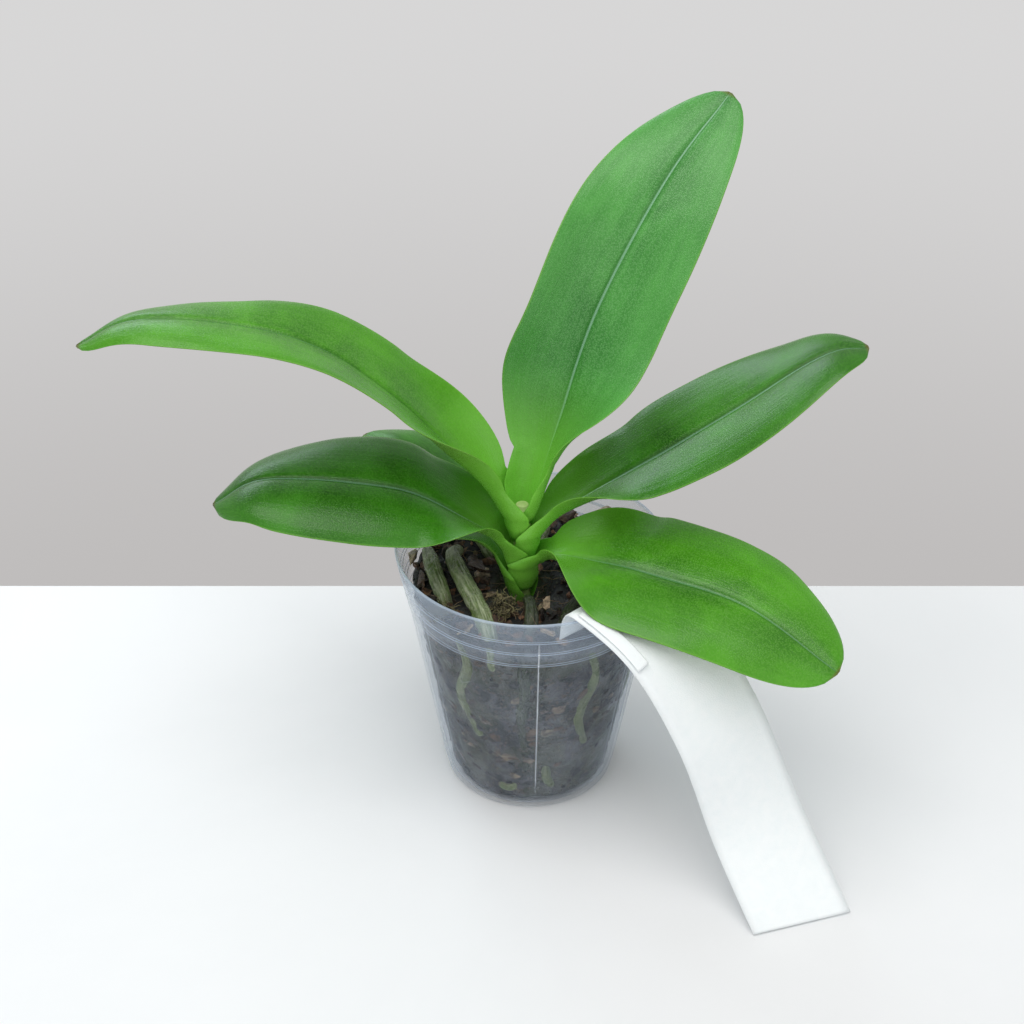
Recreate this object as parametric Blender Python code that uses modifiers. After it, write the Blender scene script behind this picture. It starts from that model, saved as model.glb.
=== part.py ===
"""A young moth orchid, out of flower, growing in a clear plastic nursery pot.

Six thick leaves clasp a short stem in two ranks. Fleshy roots creep over the
bark mix and run down inside the clear wall. A blank paper label is hooked
over the rim and hangs down to the surface that the pot stands on.

The frame: metres, +Z up, the origin at the middle of the pot's base.
"""

import math
import random

import bmesh
import bpy
from mathutils import Vector, noise

MM = 0.001

# Pot
POT_HEIGHT = 90.8 * MM
RIM_RADIUS = 45.0 * MM
BASE_RADIUS = 29.9 * MM
WALL = 0.9 * MM
FLOOR = 1.2 * MM
COLLAR_STEPS = (8.5 * MM, 13.8 * MM, 19.2 * MM)  # below the rim
STEP_DEPTH = 0.45 * MM
FOOT_ROUNDING = 2.0 * MM
DRAIN_HOLES = 6
DRAIN_RADIUS = 3.0 * MM
DRAIN_CIRCLE = 19.0 * MM
DRAIN_TURN = 0.37  # of the step from hole to hole
POT_SIDES = 56

# Bark mix
MIX_DEPTH = 11.8 * MM  # from the rim down to the mix
MIX_TOP = round(POT_HEIGHT - MIX_DEPTH, 9)
MIX_GAP = 1.2 * MM  # the roots stand out of the mix by most of it
MIX_LUMPS = 1.3 * MM
MIX_SIDES = 40
FIT_GAP = 0.35 * MM  # between the mix and whatever is bedded in it

# Stem and the sheaths round it
STEM_X = -3.0 * MM
STEM_Y = -5.0 * MM
STEM_RADIUS = 2.8 * MM
STEM_DEPTH = 19.0 * MM  # below the top of the mix
STEM_HEIGHT = 31.0 * MM  # above it
STEM_BOTTOM = round(MIX_TOP - STEM_DEPTH, 9)
STEM_TOP = round(MIX_TOP + STEM_HEIGHT, 9)
SHEATH_GAP = 0.5 * MM
SHEATH_SPREAD = 3.7 * MM
SHEATH_START = round(STEM_RADIUS + SHEATH_GAP, 9)  # inner radius where a sheath begins
SHEATH_END = round(SHEATH_START + SHEATH_SPREAD, 9)  # inner radius where its leaf leaves the stem
SHEATH_RISE = 11.0 * MM
SHEATH_WALL = 0.6 * MM
DIP_CLEARANCE = 1.8 * MM
DIP_RADIUS = round(SHEATH_END + DIP_CLEARANCE, 9)  # the dip in the mix round the stem
DIP_DEPTH = 7.0 * MM
DIP_BOTTOM = round(MIX_TOP - DIP_DEPTH, 9)
LEAF_LIFT = 0.45  # of what the rim grows by, for the leaf that droops over the label
LIFT_REACH = 60.0  # mm from the stem where the whole of it is reached
MIDRIB_THICKNESS = 2.4 * MM
MARGIN_THICKNESS = 1.0 * MM
TIP_HALF_WIDTH = 0.9 * MM
LEAF_ROWS = 28
LEAF_COLUMNS = 8

# Roots
ROOT_STEP = 4.5 * MM
ROOT_WAVE = 0.1
WALL_CLEARANCE = 0.35 * MM

# Label
LABEL_WIDTH = 33.5 * MM
LABEL_THICKNESS = 0.4 * MM
LABEL_ROWS = 34
TAB_WIDTH = 4.6 * MM
TAB_LENGTH = 24.0 * MM
LABEL_AZIMUTH = -56.0  # the way it moves out with the rim, in degrees
LABEL_HOOK = 10.0 * MM  # how far below the rim its bends keep their height from it

# The pot that the places and heights below are given for. They move as its sizes change.
DRAWN_RIM = 45.0 * MM
DRAWN_BASE = 29.9 * MM
DRAWN_HEIGHT = 90.8 * MM
DRAWN_MIX_TOP = 79.0 * MM
PLANT_RISE = MIX_TOP - DRAWN_MIX_TOP

GREEN_LEAF = (0.085, 0.235, 0.028)
DARK_LEAF = (0.05, 0.165, 0.026)
SHEATH_GREEN = (0.21, 0.38, 0.05)
BARK_BROWN = (0.12, 0.06, 0.03)
MIX_BROWN = (0.055, 0.043, 0.035)
ROOT_GREEN = (0.24, 0.28, 0.14)
ROOT_DARK = (0.05, 0.06, 0.04)
ROOT_DRY = (0.42, 0.34, 0.24)
MOSS_GREEN = (0.16, 0.15, 0.08)
CLEAR_PLASTIC = (0.72, 0.76, 0.80)
PAPER_WHITE = (0.86, 0.92, 0.94)


def clear_scene():
    for thing in list(bpy.data.objects):
        bpy.data.objects.remove(thing, do_unlink=True)


def new_collection(name, hidden=False):
    made = bpy.data.collections.new(name)
    bpy.context.scene.collection.children.link(made)
    made.hide_render = hidden
    return made


def material(name, colour, roughness, metallic=0.0):
    made = bpy.data.materials.new(name)
    made.use_nodes = True
    shader = made.node_tree.nodes["Principled BSDF"]
    shader.inputs["Base Color"].default_value = (*colour, 1.0)
    shader.inputs["Roughness"].default_value = roughness
    shader.inputs["Metallic"].default_value = metallic
    return made


clear_scene()
PARTS = new_collection("potted_orchid")
CUTTERS = new_collection("cutters", hidden=True)
MATERIALS = {
    "leaf": material("leaf", GREEN_LEAF, 0.35),
    "dark_leaf": material("dark_leaf", DARK_LEAF, 0.35),
    "stem": material("stem", SHEATH_GREEN, 0.4),
    "bark": material("bark", BARK_BROWN, 0.9),
    "mix": material("mix", MIX_BROWN, 0.9),
    "root": material("root", ROOT_GREEN, 0.6),
    "dark_root": material("dark_root", ROOT_DARK, 0.4),
    "dry_root": material("dry_root", ROOT_DRY, 0.8),
    "moss": material("moss", MOSS_GREEN, 0.9),
    "clear_plastic": material("clear_plastic", CLEAR_PLASTIC, 0.25),
    "label": material("label", PAPER_WHITE, 0.6),
}


def add_object(name, data, finish, collection=PARTS):
    made = bpy.data.objects.new(name, data)
    collection.objects.link(made)
    if finish:
        data.materials.append(MATERIALS[finish])
    if collection is CUTTERS:
        made.hide_render = True
        made.display_type = "WIRE"
    return made


def mesh_object(name, shape, finish, collection=PARTS, smooth=True):
    bmesh.ops.recalc_face_normals(shape, faces=shape.faces)
    data = bpy.data.meshes.new(name)
    shape.to_mesh(data)
    shape.free()
    if smooth:
        data.shade_smooth()
    return add_object(name, data, finish, collection)


def cut(target, cutter, solver="EXACT"):
    boolean = target.modifiers.new(f"less_{cutter.name}", "BOOLEAN")
    boolean.operation = "DIFFERENCE"
    boolean.solver = solver
    boolean.object = cutter


def bed(mix, cutter):
    """Presses a piece into the mix. Beds meet and graze one another, which EXACT leaves open."""
    cut(mix, cutter, "MANIFOLD")


def turned(name, profile, sides, finish, collection=PARTS):
    """A closed solid of revolution about Z. The profile runs from axis to axis."""
    shape = bmesh.new()
    points = [shape.verts.new((radius, 0, height)) for radius, height in profile]
    edges = [shape.edges.new(pair) for pair in zip(points, points[1:])]
    bmesh.ops.spin(
        shape, geom=points + edges, axis=(0, 0, 1), cent=(0, 0, 0),
        angle=math.tau, steps=sides, use_merge=True,
    )
    bmesh.ops.remove_doubles(shape, verts=shape.verts, dist=0.01 * MM)
    return mesh_object(name, shape, finish, collection)


def smooth_path(points, step):
    """Points about a step apart on a smooth curve through the given ones."""
    ends = [2 * points[0] - points[1], *points, 2 * points[-1] - points[-2]]
    fine = []
    for before, start, end, after in zip(ends, ends[1:], ends[2:], ends[3:]):
        for k in range(16):
            u = k / 16
            fine.append(
                0.5 * (2 * start + (end - before) * u
                + (2 * before - 5 * start + 4 * end - after) * u * u
                + (3 * start - before - 3 * end + after) * u ** 3)
            )
    fine.append(points[-1].copy())
    run = [0.0]
    for near, far in zip(fine, fine[1:]):
        run.append(run[-1] + (far - near).length)
    count = max(2, round(run[-1] / step))
    even, place = [], 0
    for k in range(count + 1):
        wanted = run[-1] * k / count
        while place < len(run) - 2 and run[place + 1] < wanted:
            place += 1
        share = (wanted - run[place]) / (run[place + 1] - run[place])
        even.append(fine[place].lerp(fine[place + 1], share))
    return even, run[-1]


def between(keys, t):
    """The value at t of straight runs through (t, value) pairs."""
    for (t0, v0), (t1, v1) in zip(keys, keys[1:]):
        if t <= t1:
            return v0 + (v1 - v0) * max(0.0, t - t0) / (t1 - t0)
    return keys[-1][1]


def ease(low, high, t):
    u = min(1.0, max(0.0, (t - low) / (high - low)))
    return u * u * (3 - 2 * u)


# ---------------------------------------------------------------- pot

def outer_radius(height):
    """The pot's outer radius, without the steps of its collar."""
    return BASE_RADIUS + (RIM_RADIUS - BASE_RADIUS) * height / POT_HEIGHT


def inner_radius(height):
    return outer_radius(height) - STEP_DEPTH * len(COLLAR_STEPS) * 0.5 - WALL


def wall_profile(inset):
    """The wall's line from the rim down, moved in by the inset."""
    line = [(RIM_RADIUS - inset, POT_HEIGHT)]
    for number, drop in enumerate(COLLAR_STEPS):
        height = POT_HEIGHT - drop
        above = outer_radius(height) - number * STEP_DEPTH * 0.5
        line.append((above - inset, height + 0.3 * MM))
        line.append((above - STEP_DEPTH * 0.5 - inset, height - 0.3 * MM))
    return line


def make_pot():
    low = FOOT_ROUNDING
    lost = STEP_DEPTH * len(COLLAR_STEPS) * 0.5
    outside = wall_profile(0.0)
    outside.append((outer_radius(low) - lost, low))
    outside.append((outer_radius(0) - lost - 0.3 * FOOT_ROUNDING, 0.3 * FOOT_ROUNDING))
    outside.append((outer_radius(0) - lost - FOOT_ROUNDING, 0.0))
    inside = wall_profile(WALL)
    inside.append((outer_radius(low) - lost - WALL, low + FLOOR))
    inside.append((outer_radius(0) - lost - FOOT_ROUNDING, FLOOR))
    profile = [(0.0, FLOOR), *reversed(inside), *outside, (0.0, 0.0)]
    pot = turned("pot", profile, POT_SIDES, "clear_plastic")
    for number in range(DRAIN_HOLES):
        angle = math.tau * (number + DRAIN_TURN) / DRAIN_HOLES
        place = Vector((math.cos(angle), math.sin(angle), 0)) * DRAIN_CIRCLE
        drill = turned(
            f"drain_cutter_{number + 1}",
            [(0, 3 * FLOOR), (DRAIN_RADIUS, 3 * FLOOR), (DRAIN_RADIUS, -FLOOR), (0, -FLOOR)],
            16, None, CUTTERS,
        )
        drill.location = place
        cut(pot, drill)
    return pot


# ---------------------------------------------------------------- mix

def mix_height(x, y):
    """The uneven top of the mix."""
    place = Vector((x, y, 0)) / (11 * MM)
    return MIX_TOP + MIX_LUMPS * noise.noise(place)


def make_mix():
    top = MIX_TOP
    reach = inner_radius(top) - MIX_GAP
    foot = FOOT_ROUNDING + FLOOR + MIX_GAP
    profile = [(0.0, top)]
    profile += [(reach * share, top) for share in (0.16, 0.32, 0.48, 0.64, 0.8, 0.94)]
    profile += [(reach, top - 1.5 * MM)]
    profile += [(inner_radius(foot) - MIX_GAP, foot)]
    profile += [(inner_radius(foot) - MIX_GAP - foot * 0.5, foot * 0.6)]
    profile += [(0.0, foot * 0.6)]
    mix = turned("bark_mix", profile, MIX_SIDES, "mix")
    for point in mix.data.vertices:
        if point.co.z > top - 0.1 * MM:
            point.co.z = mix_height(point.co.x, point.co.y)
    dip = turned(
        "dip_cutter",
        [(0, 2 * top), (DIP_RADIUS, 2 * top), (DIP_RADIUS, DIP_BOTTOM), (0, DIP_BOTTOM)],
        20, None, CUTTERS,
    )
    dip.location = (STEM_X, STEM_Y, 0)
    cut(mix, dip)
    return mix


# ---------------------------------------------------------------- stem

def make_stem(mix):
    """The short stem: it swells a little at each node where a leaf is joined."""
    def profile(grow, bottom):
        line = [(0.0, STEM_TOP + grow)]
        line.append((STEM_RADIUS * 0.7 + grow, STEM_TOP - 0.5 * MM + grow))
        line.append((STEM_RADIUS + grow, STEM_TOP - 2 * MM))
        line.append((STEM_RADIUS + grow, DIP_BOTTOM + 1 * MM))
        line.append((STEM_RADIUS * 1.35 + grow, DIP_BOTTOM - 3 * MM))
        line.append((STEM_RADIUS * 1.1 + grow, bottom + 2 * MM - grow))
        line.append((0.0, bottom - grow))
        return line

    stem = turned("stem", profile(0.0, STEM_BOTTOM), 20, "stem")
    stem.location = (STEM_X, STEM_Y, 0)
    socket = turned("stem_cutter", profile(FIT_GAP, STEM_BOTTOM), 20, None, CUTTERS)
    socket.location = stem.location
    cut(mix, socket)


# ---------------------------------------------------------------- leaves

class Leaf:
    """One leaf: the sheath round the stem and the blade, grown as one piece.

    azimuth: the way it points in plan, in degrees from +X.
    start: height where its sheath begins.
    path: the midrib past the sheath, as reach, sideways and height from the stem.
    neck, half_width: half its width at the narrow neck and at its widest place.
    widest: that place, as a share of its length. blunt: how round the tip is.
    roll: its turn about the midrib, in degrees, half-way and at the tip.
    lift: how far its blade is raised from LIFT_REACH on, in metres.
    cup: how far each half bends up (+) or down (-), half-way and at the tip.
    """

    def __init__(self, name, azimuth, start, path, neck, half_width, widest, blunt,
                 roll, cup, finish="leaf", lift=0.0):
        self.name, self.azimuth = name, math.radians(azimuth)
        self.start = start * MM + PLANT_RISE
        self.path, self.neck, self.half_width = path, neck * MM, half_width * MM
        self.widest, self.blunt, self.roll, self.cup = widest, blunt, roll, cup
        self.finish, self.lift = finish, lift

    def place(self, reach, aside, height):
        out = Vector((math.cos(self.azimuth), math.sin(self.azimuth), 0))
        side = Vector((-out.y, out.x, 0))
        return Vector((STEM_X, STEM_Y, height)) + out * reach + side * aside

    def make(self):
        sheath_top = self.start + SHEATH_RISE
        half_way = (SHEATH_START + SHEATH_END) / 2
        points = [
            self.place(SHEATH_START, 0, self.start),
            self.place(half_way, 0, self.start + SHEATH_RISE / 2),
            self.place(SHEATH_END, 0, sheath_top),
        ]
        for reach, aside, height in self.path:
            lift = self.lift * ease(0.0, LIFT_REACH, reach) ** 2
            points.append(self.place(reach * MM, aside * MM, height * MM + PLANT_RISE + lift))
        _, length = smooth_path(points, 1 * MM)
        midrib, _ = smooth_path(points, length / LEAF_ROWS)
        leaves_at = SHEATH_RISE / length
        neck_at = leaves_at + 0.07
        cups = [(0, 150), (leaves_at, 105), (neck_at, 72), (0.4, self.cup[0]), (1, self.cup[1])]
        rolls = [(0, 0), (neck_at, 0), (0.45, self.roll[0]), (1, self.roll[1])]
        vees = [(0, 0), (neck_at, 5), (0.4, 14), (1, 10)]
        side = Vector((-math.sin(self.azimuth), math.cos(self.azimuth), 0))
        axis = Vector((STEM_X, STEM_Y, 0))
        rows, thick = [], []
        last = len(midrib) - 1
        for number, centre in enumerate(midrib):
            t = number / last
            ahead = midrib[min(last, number + 1)] - midrib[max(0, number - 1)]
            level = 1 - ease(leaves_at, leaves_at + 0.14, t)
            along = ahead.normalized().lerp(Vector((0, 0, 1)), level).normalized()
            across = (side - along * side.dot(along)).normalized()
            upper = along.cross(across)
            turn = math.radians(between(rolls, t))
            across, upper = (
                across * math.cos(turn) + upper * math.sin(turn),
                upper * math.cos(turn) - across * math.sin(turn),
            )
            cup = math.radians(between(cups, t)) or 0.001
            vee = math.radians(between(vees, t))
            flat = Vector((centre.x, centre.y, 0)) - axis
            half = self.half_at(t, leaves_at, neck_at, flat.length, math.radians(cups[1][1]), cup)
            row, weights = [], []
            for column in range(LEAF_COLUMNS + 1):
                u = 2 * column / LEAF_COLUMNS - 1
                bend = vee + cup * abs(u)
                out = half / cup * (math.sin(bend) - math.sin(vee)) * (1 if u > 0 else -1)
                rise = half / cup * (math.cos(vee) - math.cos(bend))
                row.append(centre + across * out + upper * rise)
                blade = MARGIN_THICKNESS + (MIDRIB_THICKNESS - MARGIN_THICKNESS) * (1 - abs(u)) ** 1.5
                tip = 1 - 0.45 * ease(0.8, 1.0, t)
                share = ease(leaves_at, leaves_at + 0.2, t)
                weights.append((SHEATH_WALL + (blade * tip - SHEATH_WALL) * share) / MIDRIB_THICKNESS)
            rows.append(row)
            thick.append(weights)
        return sheet_solid(self.name, rows, thick, MIDRIB_THICKNESS, self.finish)

    def half_at(self, t, leaves_at, neck_at, reach, sheath_cup, cup):
        if t <= leaves_at:
            return reach * cup
        if t <= neck_at:
            share = (t - leaves_at) / (neck_at - leaves_at)
            return SHEATH_END * sheath_cup * (1 - share) + self.neck * share
        if t <= self.widest:
            grown = math.sin(ease(neck_at, self.widest, t) * math.pi / 2)
            return self.neck + (self.half_width - self.neck) * grown
        v = (t - self.widest) / (1 - self.widest)
        return max(TIP_HALF_WIDTH, self.half_width * math.sqrt(max(0.0, 1 - v ** self.blunt)))


def sheet_solid(name, rows, thick, thickness, finish):
    """A closed solid under the surface through the rows of points."""
    shape = bmesh.new()
    grid = [[shape.verts.new(point) for point in row] for row in rows]
    for near, far in zip(grid, grid[1:]):
        for a, b, c, d in zip(near, near[1:], far[1:], far):
            shape.faces.new((a, d, c, b))
    data = bpy.data.meshes.new(name)
    shape.to_mesh(data)
    shape.free()
    data.shade_smooth()
    made = add_object(name, data, finish)
    group = made.vertex_groups.new(name="thickness")
    flat = [weight for row in thick for weight in row]
    for index, weight in enumerate(flat):
        group.add([index], min(1.0, weight), "REPLACE")
    solid = made.modifiers.new("thickness", "SOLIDIFY")
    solid.thickness = thickness
    solid.offset = -1
    solid.vertex_group = group.name
    solid.use_even_offset = False
    return made


LEAVES = (
    Leaf("back_left_leaf", 140, 73, [(14, 0, 91), (34, 0, 103), (55, 0, 110), (70, 0, 109)],
         7, 20, 0.6, 2.4, roll=(0, 0), cup=(-30, -45), finish="dark_leaf"),
    Leaf("front_right_leaf", -28, 78, [(16, 0, 95), (43, 0, 97.5), (76, 3, 94), (109.5, 0, 81.5)],
         7, 26.3, 0.43, 2.3, roll=(11, 20), cup=(-27, -38), lift=LEAF_LIFT * (RIM_RADIUS - DRAWN_RIM)),
    Leaf("left_leaf", 180, 83.0, [(14, 2, 103), (39, 4, 118), (80, 6, 123), (98, 8, 115)],
         8.5, 23, 0.58, 2.7, roll=(-20, -2), cup=(-37, -58), finish="dark_leaf"),
    Leaf("right_leaf", 0, 89.3, [(18, 3, 109.5), (58, 6, 135), (92, 8, 159), (107, 9, 162)],
         9.5, 21, 0.66, 1.8, roll=(17, 2), cup=(-15, -34), finish="dark_leaf"),
    Leaf("arching_leaf", 180, 97, [(20, 0, 128.5), (62, 2, 168), (111, 4, 178.5), (134, 6, 170.5)],
         10.5, 21, 0.36, 2.0, roll=(1, 3), cup=(1, -51)),
    Leaf("upright_leaf", 40, 104, [(16, 0, 138), (30, -1, 171), (57, -1, 206), (84, 0, 227)],
         11.5, 23, 0.36, 2.9, roll=(45, 13), cup=(25, -31)),
)


# ---------------------------------------------------------------- roots

def curve_tube(name, points, radius, taper, finish, collection=PARTS, grow=0.0):
    data = bpy.data.curves.new(name, "CURVE")
    data.dimensions = "3D"
    data.bevel_depth = radius + grow
    data.bevel_resolution = 2
    data.use_fill_caps = True
    spline = data.splines.new("POLY")
    spline.points.add(len(points) - 1)
    for spot, place, share in zip(spline.points, points, taper):
        spot.co = (*place, 1.0)
        spot.radius = share
    return add_object(name, data, finish, collection)


def as_mesh(tube):
    """The curve as a closed mesh object in its place, its caps welded."""
    graph = bpy.context.evaluated_depsgraph_get()
    data = bpy.data.meshes.new_from_object(tube.evaluated_get(graph))
    shape = bmesh.new()
    shape.from_mesh(data)
    bmesh.ops.remove_doubles(shape, verts=shape.verts, dist=0.01 * MM)
    shape.to_mesh(data)
    shape.free()
    name, home = tube.name, tube.matrix_world.copy()
    bpy.data.objects.remove(tube)
    made = add_object(name, data, None, CUTTERS)
    made.matrix_world = home
    return made


def root(mix, name, radius, points, finish="root", tip=0.5):
    """A fleshy root through the points, a little knobbly, with a groove cut for it in the mix."""
    even, _ = smooth_path(points, ROOT_STEP)
    count = len(even) - 1
    taper = []
    for k, spot in enumerate(even):
        wave = 1 + ROOT_WAVE * noise.noise(spot / (5 * MM))
        ends = tip + (1 - tip) * min(1.0, 2.0 * k / count + 0.3, 2.0 * (count - k) / count + 0.3)
        taper.append(wave * ends)
    curve_tube(name, even, radius, taper, finish)
    beyond = [even[0] + (even[0] - even[1]).normalized() * FIT_GAP, *even[1:-1]]
    beyond.append(even[-1] + (even[-1] - even[-2]).normalized() * FIT_GAP)
    grown = [(share * radius + FIT_GAP) / radius for share in taper]
    cutter = curve_tube(f"{name}_cutter", beyond, radius, grown, None, CUTTERS)
    bpy.context.view_layer.update()
    bed(mix, as_mesh(cutter))


def settled(place):
    """A place among the mix, moved with the pot's size.

    Over the mix's top it keeps its height from it, and below, its share of the depth. In plan it
    keeps its share of the pot's radius.
    """
    spot = Vector(place) * MM
    if spot.z > DRAWN_MIX_TOP:
        spot.z += PLANT_RISE
    else:
        spot.z *= MIX_TOP / DRAWN_MIX_TOP
    drawn = DRAWN_BASE + (DRAWN_RIM - DRAWN_BASE) * spot.z / POT_HEIGHT
    spread = outer_radius(spot.z) / drawn
    spot.x *= spread
    spot.y *= spread
    return spot


def top_root(mix, name, radius, places, finish="root", tip=0.5):
    root(mix, name, radius * MM, [settled(place) for place in places], finish, tip)


def wall_root(mix, name, radius, stations, finish="root"):
    """A root that runs inside the wall, through (angle in degrees, height) stations."""
    radius *= MM
    points = []
    for angle, height in stations:
        height *= MM * (MIX_TOP / DRAWN_MIX_TOP)
        reach = inner_radius(height) - WALL_CLEARANCE - radius * (1 + ROOT_WAVE)
        turn = math.radians(angle)
        points.append(Vector((math.cos(turn) * reach, math.sin(turn) * reach, height)))
    root(mix, name, radius, points, finish, tip=0.6)


TOP_ROOTS = (
    ("silver_root", 3.1, [(-24, 13, 79), (-26, 4, 83), (-22, -11, 83.4), (-16.5, -25, 81.5),
                          (-13, -34, 75.5), (-12, -33.5, 64)], "root"),
    ("left_root", 2.7, [(-35, 13, 79), (-34, 5, 82.5), (-31.5, -6, 82.5), (-28.5, -14, 78.5),
                        (-25, -18, 70)], "root"),
    ("front_root", 2.8, [(-1.5, -17, 80.5), (-0.5, -22, 82.5), (0, -28.5, 81.5), (-1, -34, 76),
                         (-2.4, -35.6, 68), (-2, -33.8, 56), (-3, -31.4, 42), (-1.5, -29.2, 28),
                         (-2, -26.8, 14)], "dark_root"),
    ("front_right_root", 2.4, [(26, -10, 79.5), (18.5, -17.5, 82), (12.5, -25, 81.2),
                               (9, -32.5, 75), (8.5, -32.5, 64)], "dark_root"),
    ("dry_root", 2.1, [(6.5, 4, 84), (11, 11.5, 85.2), (19, 18.5, 86.6), (27.5, 25, 88.2)],
     "dry_root"),
    ("back_left_root", 2.8, [(-13, 8, 78.5), (-17, 18, 82), (-17, 27, 80), (-14, 33, 70)], "root"),
    ("back_root", 2.6, [(1, 10, 78), (4, 20, 82), (3, 29, 80), (1, 33.5, 70)], "root"),
    ("right_root", 2.5, [(11, -5, 79), (21, -1, 82), (30, 3, 80), (34.5, 4.5, 71)], "root"),
)

WALL_ROOTS = (
    ("wall_root_front_left", 2.2, [(-128, 76), (-124, 64), (-132, 48), (-122, 30)], "root"),
    ("wall_root_front_right", 2.0, [(-60, 72), (-55, 58), (-62, 42), (-54, 26)], "root"),
    ("wall_root_foot_left", 1.8, [(-113, 9), (-106, 8), (-99, 10)], "root"),
    ("wall_root_foot_right", 1.8, [(-74, 8), (-79, 13), (-80, 20)], "root"),
    ("wall_root_right", 2.2, [(-12, 62), (-4, 48), (-10, 30)], "root"),
    ("wall_root_back", 2.3, [(72, 66), (60, 50), (74, 32), (66, 18)], "root"),
    ("wall_root_left", 2.3, [(170, 70), (158, 52), (168, 34), (160, 18)], "root"),
)


# ---------------------------------------------------------------- loose pieces of the mix

def chip(mix, name, place, size, turn, seed, finish="bark"):
    """An angular flake of bark, bedded in the mix."""
    rule = random.Random(seed)
    corners = []
    for _ in range(11):
        direction = Vector([rule.gauss(0, 1) for _ in range(3)]).normalized()
        corners.append(Vector(direction[i] * size[i] * MM / 2 for i in range(3)))

    def hull(grow):
        shape = bmesh.new()
        for corner in corners:
            shape.verts.new(corner + corner.normalized() * grow)
        bmesh.ops.convex_hull(shape, input=shape.verts)
        loose = [point for point in shape.verts if not point.link_faces]
        bmesh.ops.delete(shape, geom=loose, context="VERTS")
        return shape

    piece = mesh_object(name, hull(0.0), finish, smooth=False)
    hollow = mesh_object(f"{name}_cutter", hull(1.8 * FIT_GAP), None, CUTTERS)
    for thing in (piece, hollow):
        thing.location = place
        thing.rotation_euler = [math.radians(angle) for angle in turn]
    bpy.context.view_layer.update()
    bed(mix, hollow)


CHIPS = (
    ("bark_chip_1", (-17.5, 1.5, 81.5), (8, 7, 5), (20, 10, 30)),
    ("bark_chip_2", (-36.5, -6.5, 80.5), (6, 9, 5), (10, 25, 15)),
    ("bark_chip_3", (22, -27, 80), (9, 7, 5), (15, 5, -40)),
    ("bark_chip_4", (30, -17.5, 80), (8, 7, 5), (-10, 15, 20)),
    ("bark_chip_5", (20, 9, 80.5), (8, 6, 5), (8, -12, 70)),
    ("bark_chip_6", (-5, 18, 80), (9, 7, 5), (12, 8, 110)),
    ("bark_chip_7", (-28, 23, 80), (8, 8, 5), (0, 18, 50)),
    ("bark_chip_8", (13, 32, 80), (8, 7, 4.5), (14, 0, 0)),
    ("bark_chip_9", (-22.2, -30.2, 79.2), (5, 5.5, 4), (6, 10, 80)),
    ("bark_chip_10", (37, -5, 80), (5, 8, 4.5), (0, 20, 10)),
)
PAPERY_SCRAP = ("papery_scrap", (5.2, -21.8, 83.2), (3.2, 7.5, 2.2), (25, 0, -15))
DRY_BRACT = ("dry_bract", (2.7, -15.0, 91.4), (2.2, 2.2, 4.0), (0, 20, 0))
PALE_CHIP = ("pale_bark_chip", (-39.5, 4.5, 81.5), (4.5, 8, 6), (5, 10, -5))


def tuft(mix, name, place, size, turn, seed, finish="moss"):
    """A springy clump of moss and fibre."""
    shape = bmesh.new()
    bmesh.ops.create_icosphere(shape, subdivisions=2, radius=0.5)
    for point in shape.verts:
        point.co *= 1 + 0.16 * noise.noise(point.co * 4 + Vector((seed, 0, 0)))
        point.co = Vector(point.co[i] * size[i] * MM for i in range(3))
    larger = shape.copy()
    for point in larger.verts:
        point.co += point.co.normalized() * 1.5 * FIT_GAP
    piece = mesh_object(name, shape, finish)
    hollow = mesh_object(f"{name}_cutter", larger, None, CUTTERS)
    for thing in (piece, hollow):
        thing.location = place
        thing.rotation_euler = [math.radians(angle) for angle in turn]
    bpy.context.view_layer.update()
    bed(mix, hollow)


TUFTS = (
    ("moss_tuft_front", (-9, -21.5, 81.4), (8.5, 13, 6.5), (0, 0, -22)),
    ("moss_tuft_left", (-28, -24, 80), (8, 7, 6), (0, 0, 40)),
    ("moss_tuft_back", (-7, 29, 79.6), (6, 7, 4.5), (0, 0, 0)),
)


# ---------------------------------------------------------------- label

LABEL_LINE = (  # the middle of the strip, and the way across it: azimuth and tilt in degrees
    ((21.8, -28.8, 81.0), 39, 0),
    ((22.4, -29.3, 89.4), 41, 0),
    ((25.4, -32.5, 92.6), 44, 1),
    ((41.5, -46.2, 86.3), 47, 11),
    ((58.4, -54.7, 59.2), 40, 11),
    ((72.2, -61.8, 24.8), 29, 6),
    ((86.2, -82.5, 0.5), 17, 0),
)


def label_place(place):
    """A place on the label, moved out with the rim. The hanging part keeps its share of the height."""
    spot = Vector(place) * MM
    if spot.z < DRAWN_HEIGHT - LABEL_HOOK:
        spot.z *= POT_HEIGHT / DRAWN_HEIGHT
    else:
        spot.z += POT_HEIGHT - DRAWN_HEIGHT
    turn = math.radians(LABEL_AZIMUTH)
    out = RIM_RADIUS - DRAWN_RIM
    return spot + Vector((math.cos(turn) * out, math.sin(turn) * out, 0))


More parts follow.
